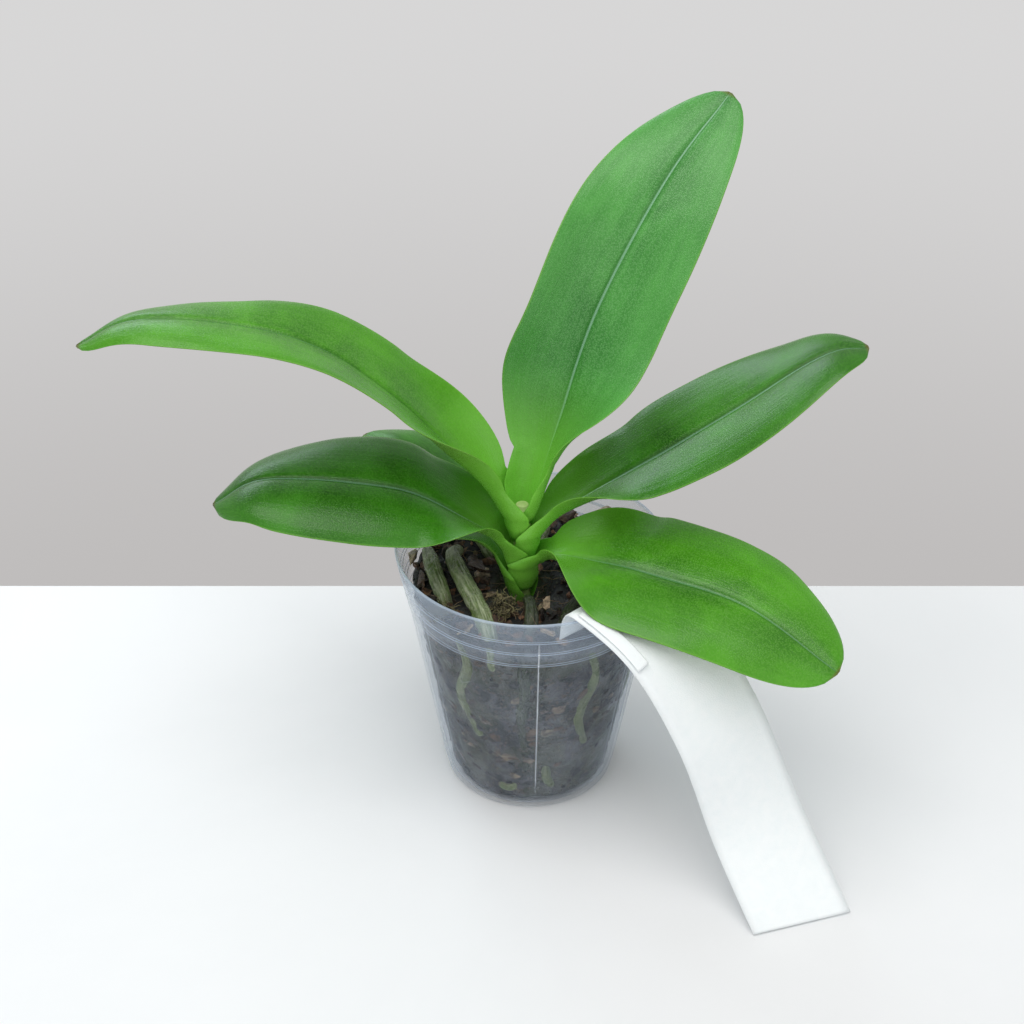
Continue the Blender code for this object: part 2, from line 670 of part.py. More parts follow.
def label_rows(from_edge, to_edge, start, end, rows, lift):
    """Rows of two points over a stretch of the label, between two places across it."""
    points = [label_place(place) for place, _, _ in LABEL_LINE]
    _, length = smooth_path(points, 1 * MM)
    line, _ = smooth_path(points, length / 200)
    marks = []
    for spot in points:
        nearest = min(range(len(line)), key=lambda k: (line[k] - spot).length)
        marks.append(nearest / (len(line) - 1))
    azimuths = [(mark, azimuth) for mark, (_, azimuth, _) in zip(marks, LABEL_LINE)]
    tilts = [(mark, tilt) for mark, (_, _, tilt) in zip(marks, LABEL_LINE)]
    made = []
    for k in range(rows + 1):
        t = start + (end - start) * k / rows
        place = t * (len(line) - 1)
        low = min(int(place), len(line) - 2)
        centre = line[low].lerp(line[low + 1], place - low)
        azimuth, tilt = math.radians(between(azimuths, t)), math.radians(between(tilts, t))
        across = Vector((math.cos(azimuth) * math.cos(tilt),
                         math.sin(azimuth) * math.cos(tilt), math.sin(tilt)))
        face = across.cross(line[low + 1] - line[low]).normalized()
        made.append([centre + across * from_edge + face * lift,
                     centre + across * to_edge + face * lift])
    return made, length


def make_label():
    half = LABEL_WIDTH / 2
    rows, length = label_rows(-half, half, 0.0, 1.0, LABEL_ROWS, 0.0)
    even = [[1.0, 1.0] for _ in rows]
    sheet_solid("plant_label", rows, even, LABEL_THICKNESS, "label")
    start = 14.5 * MM / length
    rows, _ = label_rows(-half + 1.2 * MM, -half + 1.2 * MM + TAB_WIDTH, start,
                         start + TAB_LENGTH / length, 8, -LABEL_THICKNESS - 0.7 * MM)
    even = [[1.0, 1.0] for _ in rows]
    sheet_solid("label_tab", rows, even, LABEL_THICKNESS, "label")


# ---------------------------------------------------------------- the whole plant

def main():
    make_pot()
    mix = make_mix()
    make_stem(mix)
    for leaf in LEAVES:
        leaf.make()
    for name, radius, places, finish in TOP_ROOTS:
        top_root(mix, name, radius, places, finish)
    for name, radius, stations, finish in WALL_ROOTS:
        wall_root(mix, name, radius, stations, finish)
    for seed, (name, place, size, turn) in enumerate(CHIPS):
        chip(mix, name, settled(place), size, turn, seed)
    name, place, size, turn = PALE_CHIP
    chip(mix, name, settled(place), size, turn, 40, "dry_root")
    for seed, (name, place, size, turn) in enumerate(TUFTS):
        tuft(mix, name, settled(place), size, turn, seed)
    name, place, size, turn = PAPERY_SCRAP
    chip(mix, name, settled(place), size, turn, 61, "dry_root")
    name, place, size, turn = DRY_BRACT
    by_the_stem = Vector(place) * MM + Vector((0, 0, PLANT_RISE))
    chip(mix, name, by_the_stem, size, turn, 71, "bark")
    make_label()


main()
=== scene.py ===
# %% [markdown]
# # A young moth orchid in a clear nursery pot
#
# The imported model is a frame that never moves: it says where the pot, the mix, each leaf and each root is.
# This script grows the finished surfaces round it: waxy leaves, roots with a papery skin, bark and fibre,
# thin clear plastic and a paper label. Every piece rides on the one body of the frame.

import math
import random

import bmesh
import bpy
from mathutils import Euler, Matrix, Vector, noise


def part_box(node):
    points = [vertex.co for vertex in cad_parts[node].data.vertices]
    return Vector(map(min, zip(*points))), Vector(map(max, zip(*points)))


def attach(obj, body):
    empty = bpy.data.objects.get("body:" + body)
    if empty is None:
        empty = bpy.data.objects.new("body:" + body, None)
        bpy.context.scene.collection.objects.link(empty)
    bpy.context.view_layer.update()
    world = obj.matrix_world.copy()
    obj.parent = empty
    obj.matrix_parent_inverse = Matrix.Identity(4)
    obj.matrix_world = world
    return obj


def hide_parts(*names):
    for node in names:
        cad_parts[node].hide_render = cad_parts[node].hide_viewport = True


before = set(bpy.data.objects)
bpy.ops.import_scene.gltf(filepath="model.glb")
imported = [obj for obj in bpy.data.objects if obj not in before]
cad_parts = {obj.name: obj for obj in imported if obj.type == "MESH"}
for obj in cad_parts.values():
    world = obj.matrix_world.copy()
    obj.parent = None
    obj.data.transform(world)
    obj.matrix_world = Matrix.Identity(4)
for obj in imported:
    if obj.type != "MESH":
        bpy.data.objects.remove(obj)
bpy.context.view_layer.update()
MM = 0.001

# %% [markdown]
# ## The view
#
# The plant is seen from the front and a little above, through a long lens, so that its leaves keep their
# true proportions. A camera is easiest to read as a place to look at, a distance and an angle down.

# %% Camera
LOOK_AT = Vector((-6.3, 0.0, 103.1)) * MM
LOOK_DOWN = math.radians(33.64)
LOOK_FROM = 585.8 * MM


def placed(name, data):
    made = bpy.data.objects.new(name, data)
    bpy.context.scene.collection.objects.link(made)
    return made


lens = bpy.data.cameras.new("camera")
lens.lens = 63.28
lens.sensor_width = 36.0
lens.clip_start = 10 * MM
camera = placed("camera", lens)
camera.location = LOOK_AT + Vector((0, -math.cos(LOOK_DOWN), math.sin(LOOK_DOWN))) * LOOK_FROM
camera.rotation_euler = (math.pi / 2 - LOOK_DOWN, 0, 0)
bpy.context.scene.camera = camera
bpy.context.scene.view_settings.view_transform = "Standard"
print("camera at", [round(value, 3) for value in camera.location])

# %% [markdown]
# ## Building materials from nodes
#
# Every finish here is drawn by nodes, so it has no picture files and no seams. A few helpers keep the node
# trees short: they fill sockets, mix and tint colours, and turn a range of values into a soft mask.

# %% Node helpers
# The sockets of a Mix node that mixes colours:
MIX_SHARE, MIX_FIRST, MIX_SECOND, MIX_RESULT = 0, 6, 7, 2


def fill(tree, socket, value):
    """Gives a socket its plain value, or links it to the output that feeds it."""
    if isinstance(value, bpy.types.NodeSocket):
        tree.links.new(value, socket)
    else:
        socket.default_value = value


def add_node(tree, kind, sockets=None, **settings):
    """A new shader node of this kind, such as Bump, with its settings and its sockets filled."""
    made = tree.nodes.new(f"ShaderNode{kind}")
    for name, value in settings.items():
        setattr(made, name, value)
    for key, value in (sockets or {}).items():
        fill(tree, made.inputs[key], value)
    return made


def rgba(value):
    return value if isinstance(value, bpy.types.NodeSocket) else (*value, 1.0)


def mixed(tree, share, first, second, how="MIX"):
    sockets = {MIX_SHARE: share, MIX_FIRST: rgba(first), MIX_SECOND: rgba(second)}
    return add_node(tree, "Mix", sockets, data_type="RGBA", blend_type=how).outputs[MIX_RESULT]


def softly(tree, value, low, high, at_low=0.0, at_high=1.0):
    """A smooth step from one level to another as the value goes from low to high."""
    return add_node(tree, "MapRange", {
        "Value": value, "From Min": low, "From Max": high, "To Min": at_low, "To Max": at_high,
    }, interpolation_type="SMOOTHSTEP").outputs["Result"]


def reckon(tree, operation, first, second=0.0):
    return add_node(tree, "Math", {0: first, 1: second}, operation=operation).outputs[0]


def times(tree, first, second):
    return reckon(tree, "MULTIPLY", first, second)


def plus(tree, total, *others):
    for other in others:
        total = reckon(tree, "ADD", total, other)
    return total


def tinted(tree, colour, other, mask, share):
    """The colour, turned towards another one by a share of a mask."""
    return mixed(tree, times(tree, mask, share), colour, other)


def attribute(tree, name):
    return add_node(tree, "Attribute", attribute_name=name).outputs["Fac"]


def new_material(name):
    made = bpy.data.materials.new(name)
    made.use_nodes = True
    tree = made.node_tree
    place = add_node(tree, "TexCoord").outputs["Object"]
    return made, tree, tree.nodes["Principled BSDF"], place


def coat(tree, shader, colour, roughness, height=None, relief=0.0, **uniform):
    """Plugs the finish into its shader. relief is the depth in metres of a height of 1."""
    for name, value in {"Base Color": colour, "Roughness": roughness, **uniform}.items():
        fill(tree, shader.inputs[name.replace("_", " ")], value)
    if height is not None:
        bump = add_node(tree, "Bump", {"Height": height, "Strength": 1.0, "Distance": relief})
        tree.links.new(bump.outputs[0], shader.inputs["Normal"])


# %% [markdown]
# ## Effects that several finishes share
#
# Plants and bark are never one even colour. Four effects come back in most of the materials, so each is a
# node group: cloudy mottling, fine grains, streaks that run along a leaf or a root, and a film of water.
# A group hands over a colour, a mask or a value, and each material sets its own numbers.

# %% Group builder
def new_group(name, inputs, outputs):
    """An empty node group with these sockets, given as name and kind."""
    group = bpy.data.node_groups.new(name, "ShaderNodeTree")
    for way, sockets in (("INPUT", inputs), ("OUTPUT", outputs)):
        for title, kind in sockets.items():
            group.interface.new_socket(name=title, in_out=way, socket_type=kind)
    return group, group.nodes.new("NodeGroupInput").outputs, group.nodes.new("NodeGroupOutput").inputs


def use_group(tree, group, sockets):
    return add_node(tree, "Group", sockets, node_tree=group).outputs


FLOAT, COLOUR, VECTOR = "NodeSocketFloat", "NodeSocketColor", "NodeSocketVector"

# %% Mottling
MOTTLING, source, target = new_group(
    "mottling",
    {"Place": VECTOR, "Scale": FLOAT, "Dark": COLOUR, "Light": COLOUR, "Sharpness": FLOAT},
    {"Colour": COLOUR, "Mask": FLOAT},
)
cloud = add_node(MOTTLING, "TexNoise", {
    "Vector": source["Place"], "Scale": source["Scale"], "Detail": 6.0, "Roughness": 0.6, "Distortion": 0.4,
})
soft_end = reckon(MOTTLING, "SUBTRACT", 1.0, source["Sharpness"])
cloud_mask = softly(MOTTLING, cloud.outputs[0], source["Sharpness"], soft_end)
MOTTLING.links.new(mixed(MOTTLING, cloud_mask, source["Dark"], source["Light"]), target["Colour"])
MOTTLING.links.new(cloud_mask, target["Mask"])

# %% Fine grains
GRAINS, source, target = new_group(
    "fine_grains", {"Place": VECTOR, "Scale": FLOAT, "Size": FLOAT}, {"Mask": FLOAT})
cells = add_node(GRAINS, "TexVoronoi", {"Vector": source["Place"], "Scale": source["Scale"]})
near_cell = reckon(GRAINS, "DIVIDE", cells.outputs["Distance"], source["Size"])
GRAINS.links.new(softly(GRAINS, near_cell, 0.5, 1.0, 1.0, 0.0), target["Mask"])

# %% Streaks
STREAKS, source, target = new_group(
    "streaks", {"Along": FLOAT, "Across": FLOAT, "Lines": FLOAT, "Runs": FLOAT}, {"Mask": FLOAT})
flow = add_node(STREAKS, "CombineXYZ", {
    "X": times(STREAKS, source["Across"], source["Lines"]),
    "Y": times(STREAKS, source["Along"], source["Runs"]),
})
lines = add_node(
    STREAKS, "TexNoise", {"Vector": flow.outputs[0], "Scale": 1.0, "Detail": 3.0, "Roughness": 0.55})
STREAKS.links.new(softly(STREAKS, lines.outputs[0], 0.34, 0.68), target["Mask"])

# %% A film of water
WETNESS, source, target = new_group(
    "wetness", {"Place": VECTOR, "Scale": FLOAT, "Dry": FLOAT, "Wet": FLOAT}, {"Roughness": FLOAT})
patches = add_node(WETNESS, "TexNoise", {"Vector": source["Place"], "Scale": source["Scale"], "Detail": 3.0})
wet_mask = softly(WETNESS, patches.outputs[0], 0.44, 0.6)
dry_part = times(WETNESS, reckon(WETNESS, "SUBTRACT", 1.0, wet_mask), source["Dry"])
wet_part = times(WETNESS, wet_mask, source["Wet"])
WETNESS.links.new(plus(WETNESS, dry_part, wet_part), target["Roughness"])

# %% The effects, ready to use
def mottling(tree, place, scale, sharpness, dark=(0, 0, 0), light=(1, 1, 1)):
    return use_group(tree, MOTTLING, {
        "Place": place, "Scale": scale, "Sharpness": sharpness, "Dark": rgba(dark), "Light": rgba(light),
    })


def grains(tree, place, scale, size):
    return use_group(tree, GRAINS, {"Place": place, "Scale": scale, "Size": size})["Mask"]


def streaks(tree, along, across, lines, runs):
    return use_group(tree, STREAKS, {"Along": along, "Across": across, "Lines": lines, "Runs": runs})["Mask"]


def wetness(tree, place, scale, dry, wet):
    return use_group(tree, WETNESS, {"Place": place, "Scale": scale, "Dry": dry, "Wet": wet})["Roughness"]


print("shared effects:", ", ".join(group.name for group in bpy.data.node_groups))

# %% [markdown]
# ## The table and the light
#
# The plant stands on a plain pale table that ends a hand's width behind it, before an even grey wall. The
# wall is the world's colour, so nothing blocks the view from behind. The light is a bright room: a broad
# soft lamp overhead, a cooler one behind to put a sheen on the leaves, a weak one in front, and the glow of
# the world itself.

# %% Table
TABLE_BACK = 103 * MM
TABLE_THICKNESS = 30 * MM
TABLE_REACH = 1.2


def mesh_of(shape, name):
    """The bmesh as a finished mesh."""
    made = bpy.data.meshes.new(name)
    shape.to_mesh(made)
    shape.free()
    return made


shape = bmesh.new()
bmesh.ops.create_cube(shape, size=1.0)
for point in shape.verts:
    point.co.x *= 2 * TABLE_REACH
    point.co.y = TABLE_BACK if point.co.y > 0 else -TABLE_REACH
    point.co.z = 0.0 if point.co.z > 0 else -TABLE_THICKNESS
bmesh.ops.bevel(shape, geom=shape.edges[:], offset=2 * MM, segments=3, affect="EDGES")
table_mesh = mesh_of(shape, "table")
table = placed("table", table_mesh)

table_finish, tree, shader, place = new_material("table_lacquer")
tint = mottling(tree, place, 5.0, 0.3, (0.80, 0.815, 0.825), (0.84, 0.85, 0.86))
coat(tree, shader, tint["Colour"], 0.45)
table_mesh.materials.append(table_finish)

# %% World
world = bpy.data.worlds.new("room")
bpy.context.scene.world = world
world.use_nodes = True
tree = world.node_tree
direction = add_node(tree, "TexCoord").outputs["Generated"]
height = add_node(tree, "SeparateXYZ", {0: direction}).outputs["Z"]
wall = mixed(tree, softly(tree, height, -0.6, -0.3), (0.56, 0.545, 0.54), (0.74, 0.735, 0.735))
room = mixed(tree, softly(tree, height, 0.0, 0.5), wall, (0.60, 0.605, 0.61))
tree.links.new(room, tree.nodes["Background"].inputs["Color"])
tree.nodes["Background"].inputs["Strength"].default_value = 0.92

# %% Lamps
def soft_lamp(name, place, aim, size, power, colour):
    data = bpy.data.lights.new(name, "AREA")
    data.shape = "RECTANGLE"
    data.size, data.size_y = size
    data.energy = power
    data.color = colour
    lamp = placed(name, data)
    lamp.location = place
    lamp.rotation_euler = (Vector(place) - Vector(aim)).to_track_quat("Z", "Y").to_euler()


soft_lamp("lamp_overhead", (-0.22, -0.35, 1.45), (0, 0, 0.08), (1.3, 1.1), 13.0, (1.0, 0.985, 0.965))
soft_lamp("lamp_behind", (-0.7, 1.1, 0.9), (-0.05, 0, 0.13), (0.9, 0.5), 5.5, (0.80, 0.93, 1.0))
soft_lamp("lamp_front", (0.7, -1.2, 0.6), (0, 0, 0.07), (1.0, 0.8), 2.0, (1.0, 0.98, 0.95))
print("lamps:", len(bpy.data.lights))

# %% [markdown]
# ## Turning rows of points into surfaces
#
# Leaves, roots, the pot and the label are all lofts: rows of points, joined by faces. One function joins the
# rows and keeps, at every point, the numbers that the materials need, such as how far along a leaf it lies.
# These numbers stay with the mesh, so the pattern follows each leaf as it bends.

# %% Lofts
def join_rows(shape, rows):
    """Adds closed rows of points to the bmesh, with faces from each row to the next."""
    grid = [[shape.verts.new(point) for point in row] for row in rows]
    across = len(rows[0])
    for near, far in zip(grid, grid[1:]):
        for k in range(across):
            following = (k + 1) % across
            shape.faces.new((near[k], near[following], far[following], far[k]))
    return grid


def loft(rows, marks=None):
    """A closed mesh through rows of points. marks gives each row's values, under each attribute's name."""
    shape = bmesh.new()
    grid = join_rows(shape, rows)
    across = len(rows[0])
    for row in (grid[0], grid[-1]):
        hub = shape.verts.new(sum((point.co for point in row), Vector()) / across)
        for k in range(across):
            shape.faces.new((row[k], row[(k + 1) % across], hub))
    bmesh.ops.recalc_face_normals(shape, faces=shape.faces)
    made = mesh_of(shape, "loft")
    for name, values in (marks or {}).items():
        flat = [value for row in values for value in row] + [values[0][0], values[-1][0]]
        made.attributes.new(name, "FLOAT", "POINT").data.foreach_set("value", flat)
    made.shade_smooth()
    return made


def show(name, mesh, material, slot, *nodes):
    """Puts a piece in the scene, on the body of the frame, in place of the plain solids."""
    mesh.name = name
    mesh.materials.append(material)
    piece = placed(name, mesh)
    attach(piece, "root")
    if nodes:
        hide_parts(*nodes)
    return piece


# %% Smooth paths
FINE_STEPS = 16


def way_at(angle):
    return Vector((math.cos(angle), math.sin(angle), 0))


def raised(height):
    return Vector((0, 0, height))


def smooth_path(points, count):
    """This many even steps on a smooth curve through the points."""
    ends = [2 * points[0] - points[1], *points, 2 * points[-1] - points[-2]]
    fine = []
    for before, start, end, after in zip(ends, ends[1:], ends[2:], ends[3:]):
        for k in range(FINE_STEPS):
            u = k / FINE_STEPS
            fine.append(
                0.5 * (2 * start + (end - before) * u
                + (2 * before - 5 * start + 4 * end - after) * u * u
                + (3 * start - before - 3 * end + after) * u ** 3)
            )
    fine.append(points[-1].copy())
    run = [0.0]
    for near, far in zip(fine, fine[1:]):
        run.append(run[-1] + (far - near).length)
    even, spot = [], 0
    for k in range(count + 1):
        wanted = run[-1] * k / count
        while spot < len(run) - 2 and run[spot + 1] < wanted:
            spot += 1
        share = (wanted - run[spot]) / (run[spot + 1] - run[spot])
        even.append(fine[spot].lerp(fine[spot + 1], share))
    return even, run[-1]


def between(keys, t, eased=False):
    """The value at t of runs through (t, value) pairs, which are straight or soft S shapes."""
    for (t0, v0), (t1, v1) in zip(keys, keys[1:]):
        if t <= t1:
            return v0 + (v1 - v0) * (ease(t0, t1, t) if eased else max(0.0, t - t0) / (t1 - t0))
    return keys[-1][1]


def ease(low, high, t):
    u = min(1.0, max(0.0, (t - low) / (high - low)))
    return u * u * (3 - 2 * u)


# %% [markdown]
# ## The leaves
#
# A moth orchid's leaf starts as a sheath wrapped round the stem, narrows to a neck and opens into a thick,
# strap-shaped blade with a groove down its middle. The two halves of the blade rise a little from the
# groove and then droop to the margin. Cloth would be too limp for this and a sculpted lump too vague, so
# each leaf is a loft: one section, swept along the midrib, whose width, curl and turn change on the way.

# %% Leaf sizes
STEM_AXIS = Vector((-3.0, -5.0, 0.0)) * MM
SHEATH_START = 3.3 * MM
SHEATH_END = 7.0 * MM
SHEATH_RISE = 11.0 * MM
SHEATH_WALL = 0.6 * MM
MIDRIB_THICKNESS = 2.4 * MM
MARGIN_THICKNESS = 1.0 * MM
TIP_HALF_WIDTH = 0.9 * MM
GROOVE_DEPTH = 0.55 * MM
GROOVE_WIDTH = 0.9 * MM
LEAF_ROWS = 84
UNROLLING_SHARE = 0.14
THICKENING_SHARE = 0.2
NECK_SHARE = 0.07
WIDTH_GROWTH = 0.72
RIPPLE = 0.16 * MM
SWELL = 0.45 * MM
SWELL_SIZE = 16 * MM
HALF_COLUMNS = (0.0, 0.014, 0.032, 0.06, 0.1, 0.16, 0.24, 0.33, 0.43,
                0.53, 0.63, 0.73, 0.82, 0.9, 0.955, 0.985, 1.0)
LEAF_COLUMNS = [-u for u in reversed(HALF_COLUMNS[1:])] + list(HALF_COLUMNS)


# %% One leaf
class Leaf:
    """A leaf in the frame's own sizes: millimetres from the stem's axis, and degrees."""

    def __init__(self, node, azimuth, start, path, neck, half_width, widest, blunt, roll, cup, finish):
        self.node, self.azimuth, self.start = node, math.radians(azimuth), start * MM
        self.path, self.neck, self.half_width = path, neck * MM, half_width * MM
        self.widest, self.blunt, self.roll, self.cup = widest, blunt, roll, cup
        self.finish = finish

    def place(self, reach, aside, height):
        out = way_at(self.azimuth)
        return STEM_AXIS + raised(height) + out * reach + Vector((-out.y, out.x, 0)) * aside

    def half_at(self, t, leaves_at, neck_at, reach, sheath_cup, cup):
        if t <= leaves_at:
            return reach * cup
        if t <= neck_at:
            share = (t - leaves_at) / (neck_at - leaves_at)
            return SHEATH_END * sheath_cup * (1 - share) + self.neck * share
        if t <= self.widest:
            grown = math.sin((t - neck_at) / (self.widest - neck_at) * math.pi / 2) ** WIDTH_GROWTH
            return self.neck + (self.half_width - self.neck) * grown
        v = (t - self.widest) / (1 - self.widest)
        return max(TIP_HALF_WIDTH, self.half_width * math.sqrt(max(0.0, 1 - v ** self.blunt)))

    def sections(self):
        """For each row: t, the midrib's point, the ways across and up, half the width, the vee and the cup."""
        points = [self.place(SHEATH_START + (SHEATH_END - SHEATH_START) * share, 0,
                             self.start + SHEATH_RISE * share) for share in (0, 0.5, 1)]
        points += [self.place(r * MM, s * MM, h * MM) for r, s, h in self.path]
        midrib, length = smooth_path(points, LEAF_ROWS)
        leaves_at = SHEATH_RISE / length
        neck_at = leaves_at + NECK_SHARE
        cups = [(0, 150), (leaves_at, 105), (neck_at, 72), (0.4, self.cup[0]), (1, self.cup[1])]
        rolls = [(0, 0), (neck_at, 0), (0.45, self.roll[0]), (1, self.roll[1])]
        vees = [(0, 0), (neck_at, 5), (0.4, 14), (1, 10)]
        side = Vector((-math.sin(self.azimuth), math.cos(self.azimuth), 0))
        for number, centre in enumerate(midrib):
            t = number / LEAF_ROWS
            ahead = midrib[min(LEAF_ROWS, number + 1)] - midrib[max(0, number - 1)]
            level = 1 - ease(leaves_at, leaves_at + UNROLLING_SHARE, t)
            along = ahead.normalized().lerp(Vector((0, 0, 1)), level).normalized()
            across = (side - along * side.dot(along)).normalized()
            upper = along.cross(across)
            turn = math.radians(between(rolls, t, eased=True))
            across, upper = (
                across * math.cos(turn) + upper * math.sin(turn),
                upper * math.cos(turn) - across * math.sin(turn),
            )
            cup = math.radians(between(cups, t, eased=True)) or 0.001
            reach = (Vector((centre.x, centre.y, 0)) - STEM_AXIS).length
            half = self.half_at(t, leaves_at, neck_at, reach, math.radians(cups[1][1]), cup)
            yield t, leaves_at, centre, across, upper, half, math.radians(between(vees, t)), cup

    def surface(self):
        """The closed skin of the leaf: each row goes over the upper face and back under the lower one."""
        seed = Vector((self.azimuth * 7, self.start * 300, 0))
        rows, along, side, under = [], [], [], []
        for t, leaves_at, centre, across, upper, half, vee, cup in self.sections():
            blade_share = ease(leaves_at, leaves_at + THICKENING_SHARE, t)
            taper = 1 - 0.45 * ease(0.8, 1.0, t)
            top, bottom = [], []
            for u in LEAF_COLUMNS:
                sign = 1 if u > 0 else -1
                bend = vee + cup * abs(u)
                out = half / cup * (math.sin(bend) - math.sin(vee)) * sign
                rise = half / cup * (math.cos(vee) - math.cos(bend))
                normal = upper * math.cos(bend) - across * math.sin(bend) * sign
                point = centre + across * out + upper * rise
                blade = MARGIN_THICKNESS + (MIDRIB_THICKNESS - MARGIN_THICKNESS) * (1 - abs(u)) ** 1.5
                thick = SHEATH_WALL + (blade * taper - SHEATH_WALL) * blade_share
                ripple = noise.noise(Vector((u * 7, t * 3, 0)) + seed) * RIPPLE
                swell = noise.noise(point / SWELL_SIZE + seed) * SWELL
                depth = GROOVE_DEPTH * math.exp(-((u * half / GROOVE_WIDTH) ** 2)) * taper
                lift = (ripple + swell - depth) * blade_share
                rounding = 0.36 * thick * ease(0.88, 1.0, abs(u))
                top.append(point + normal * (lift - rounding))
                bottom.append(point - normal * (thick - swell * blade_share - rounding))
            rows.append(top + bottom[::-1])
            along.append([t] * len(top) * 2)
            side.append(LEAF_COLUMNS + LEAF_COLUMNS[::-1])
            under.append([0.0] * len(top) + [1.0] * len(top))
        return loft(rows, {"along": along, "across": side, "under": under})


LEAVES = (
    Leaf("back_left_leaf", 140, 73, [(14, 0, 91), (34, 0, 103), (55, 0, 110), (70, 0, 109)],
         7, 20, 0.6, 2.4, (0, 0), (-30, -45), "dark"),
    Leaf("front_right_leaf", -28, 78, [(16, 0, 95), (43, 0, 97.5), (76, 3, 94), (109.5, 0, 81.5)],
         7, 26.3, 0.43, 2.3, (11, 20), (-27, -38), "mid"),
    Leaf("left_leaf", 180, 83, [(14, 2, 103), (39, 4, 118), (80, 6, 123), (98, 8, 115)],
         8.5, 23, 0.58, 2.7, (-20, -2), (-37, -58), "dark"),
    Leaf("right_leaf", 0, 89.3, [(18, 3, 109.5), (58, 6, 135), (92, 8, 159), (107, 9, 162)],
         9.5, 21, 0.66, 1.8, (17, 2), (-15, -34), "dark"),
    Leaf("arching_leaf", 180, 97, [(20, 0, 128.5), (62, 2, 168), (111, 4, 178.5), (134, 6, 170.5)],
         10.5, 21, 0.36, 2.0, (1, 3), (1, -51), "mid"),
    Leaf("upright_leaf", 40, 104, [(16, 0, 138), (30, -1, 171), (57, -1, 206), (84, 0, 227)],
         11.5, 23, 0.36, 2.9, (45, 13), (25, -31), "pale"),
)

# %% [markdown]
# ### The leaf's skin
#
# The blade is a deep green under a thin wax. It is dotted with fine pale pores, faint veins run along it,
# and the groove shows as a thin blue-white line. The margins and the sheath are yellower, the underside is
# olive. The pattern follows the leaf by the numbers kept at its points.

# %% Leaf finishes
MIDRIB_PALE = (0.26, 0.50, 0.33)
MARGIN_GREEN = (0.17, 0.42, 0.045)
SHEATH_GREEN = (0.20, 0.56, 0.055)
UNDER_OLIVE = (0.13, 0.23, 0.045)
TIP_BROWN = (0.20, 0.10, 0.035)


def leaf_finish(name, deep, fresh, pore, vein_share, midrib_share, band_share):
    """deep and fresh are the blade's two greens. pore is the colour of its fine dots."""
    made, tree, shader, place = new_material(name)
    along, side, under = (attribute(tree, kept) for kept in ("along", "across", "under"))
    from_midrib = reckon(tree, "ABSOLUTE", side)
    blade = mottling(tree, place, 38.0, 0.27, deep, fresh)
    veins = streaks(tree, along, side, 26.0, 2.5)
    bands = streaks(tree, along, side, 6.0, 3.5)
    pores = grains(tree, place, 1900.0, 0.62)
    colour = blade["Colour"]
    for other, mask, share in (
        (deep, bands, band_share),
        (fresh, veins, vein_share),
        (pore, pores, 0.26),
        (fresh, softly(tree, from_midrib, 0.05, 0.9), 0.4),
        (MARGIN_GREEN, softly(tree, from_midrib, 0.965, 1.0), 0.55),
        (deep, softly(tree, from_midrib, 0.012, 0.06, 1.0, 0.0), 0.4),
        (MIDRIB_PALE, softly(tree, from_midrib, 0.004, 0.02, 1.0, 0.0), midrib_share),
        (SHEATH_GREEN, softly(tree, along, 0.05, 0.36, 1.0, 0.0), 0.9),
        (UNDER_OLIVE, under, softly(tree, along, 0.12, 0.35, 0.0, 0.7)),
        (TIP_BROWN, softly(tree, along, 0.988, 1.0), 0.6),
    ):
        colour = tinted(tree, colour, other, mask, share)
    gloss = plus(tree, 0.29, times(tree, blade["Mask"], 0.08), times(tree, pores, -0.08))
    relief = plus(tree, times(tree, veins, 0.35), times(tree, pores, 0.3))
    coat(tree, shader, colour, gloss, relief, 0.06 * MM, Specular_IOR_Level=0.36)
    return made


LEAF_FINISHES = {
    kind: (leaf_finish(*finish), slot) for kind, slot, *finish in (
        ("dark", "dark_leaf", "dark_leaf_wax",
         (0.008, 0.062, 0.001), (0.040, 0.225, 0.004), (0.13, 0.36, 0.06), 0.12, 0.45, 0.25),
        ("mid", "leaf", "leaf_wax",
         (0.020, 0.125, 0.002), (0.080, 0.345, 0.006), (0.20, 0.47, 0.09), 0.15, 0.25, 0.3),
        ("pale", "leaf", "pale_leaf_wax",
         (0.026, 0.165, 0.022), (0.085, 0.345, 0.060), (0.22, 0.50, 0.19), 0.25, 0.6, 0.55),
    )
}

for leaf in LEAVES:
    material, slot = LEAF_FINISHES[leaf.finish]
    piece = show(f"{leaf.node}_blade", leaf.surface(), material, slot, leaf.node)
    _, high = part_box(leaf.node)
    grown = [max(point.co[axis] for point in piece.data.vertices) - high[axis] for axis in range(3)]
    print(leaf.node, len(piece.data.polygons), "faces, over its solid by mm:",
          [round(value / MM, 2) for value in grown])

# %% [markdown]
# ## The pot
#
# The pot is vacuum-formed from a thin clear sheet: a turned wall with three small steps in its collar, a
# few upright ribs and six drain holes. A turned profile gives the wall, and points set close together let
# each rib sink into the round as a narrow crease. The holes are cut by a Boolean, as a press would punch them.

# %% Pot sizes
_, POT_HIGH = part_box("pot")
POT_HEIGHT = POT_HIGH.z
RIM_RADIUS = POT_HIGH.x
BASE_RADIUS = 29.9 * MM
WALL = 0.9 * MM
FLOOR = 1.2 * MM
COLLAR_STEPS = (8.5 * MM, 13.8 * MM, 19.2 * MM)
STEP_IN = 0.225 * MM
STEPS_LOST = STEP_IN * len(COLLAR_STEPS)
WALL_HEIGHTS = (64 * MM, 48 * MM, 32 * MM, 16 * MM, 6 * MM)
RIM_ROUNDING = 0.3 * MM
FOOT_ROUNDING = 2.0 * MM
FLOOR_RINGS = (0.4 * MM, 12 * MM)
WALL_SIDES = 120
RIB_ANGLES = (-149, -87, -33, 30, 91, 152)
RIB_HALF_WIDTH = 0.3 * MM
RIB_DEPTH = 0.3 * MM
RIB_RADIUS = 40 * MM
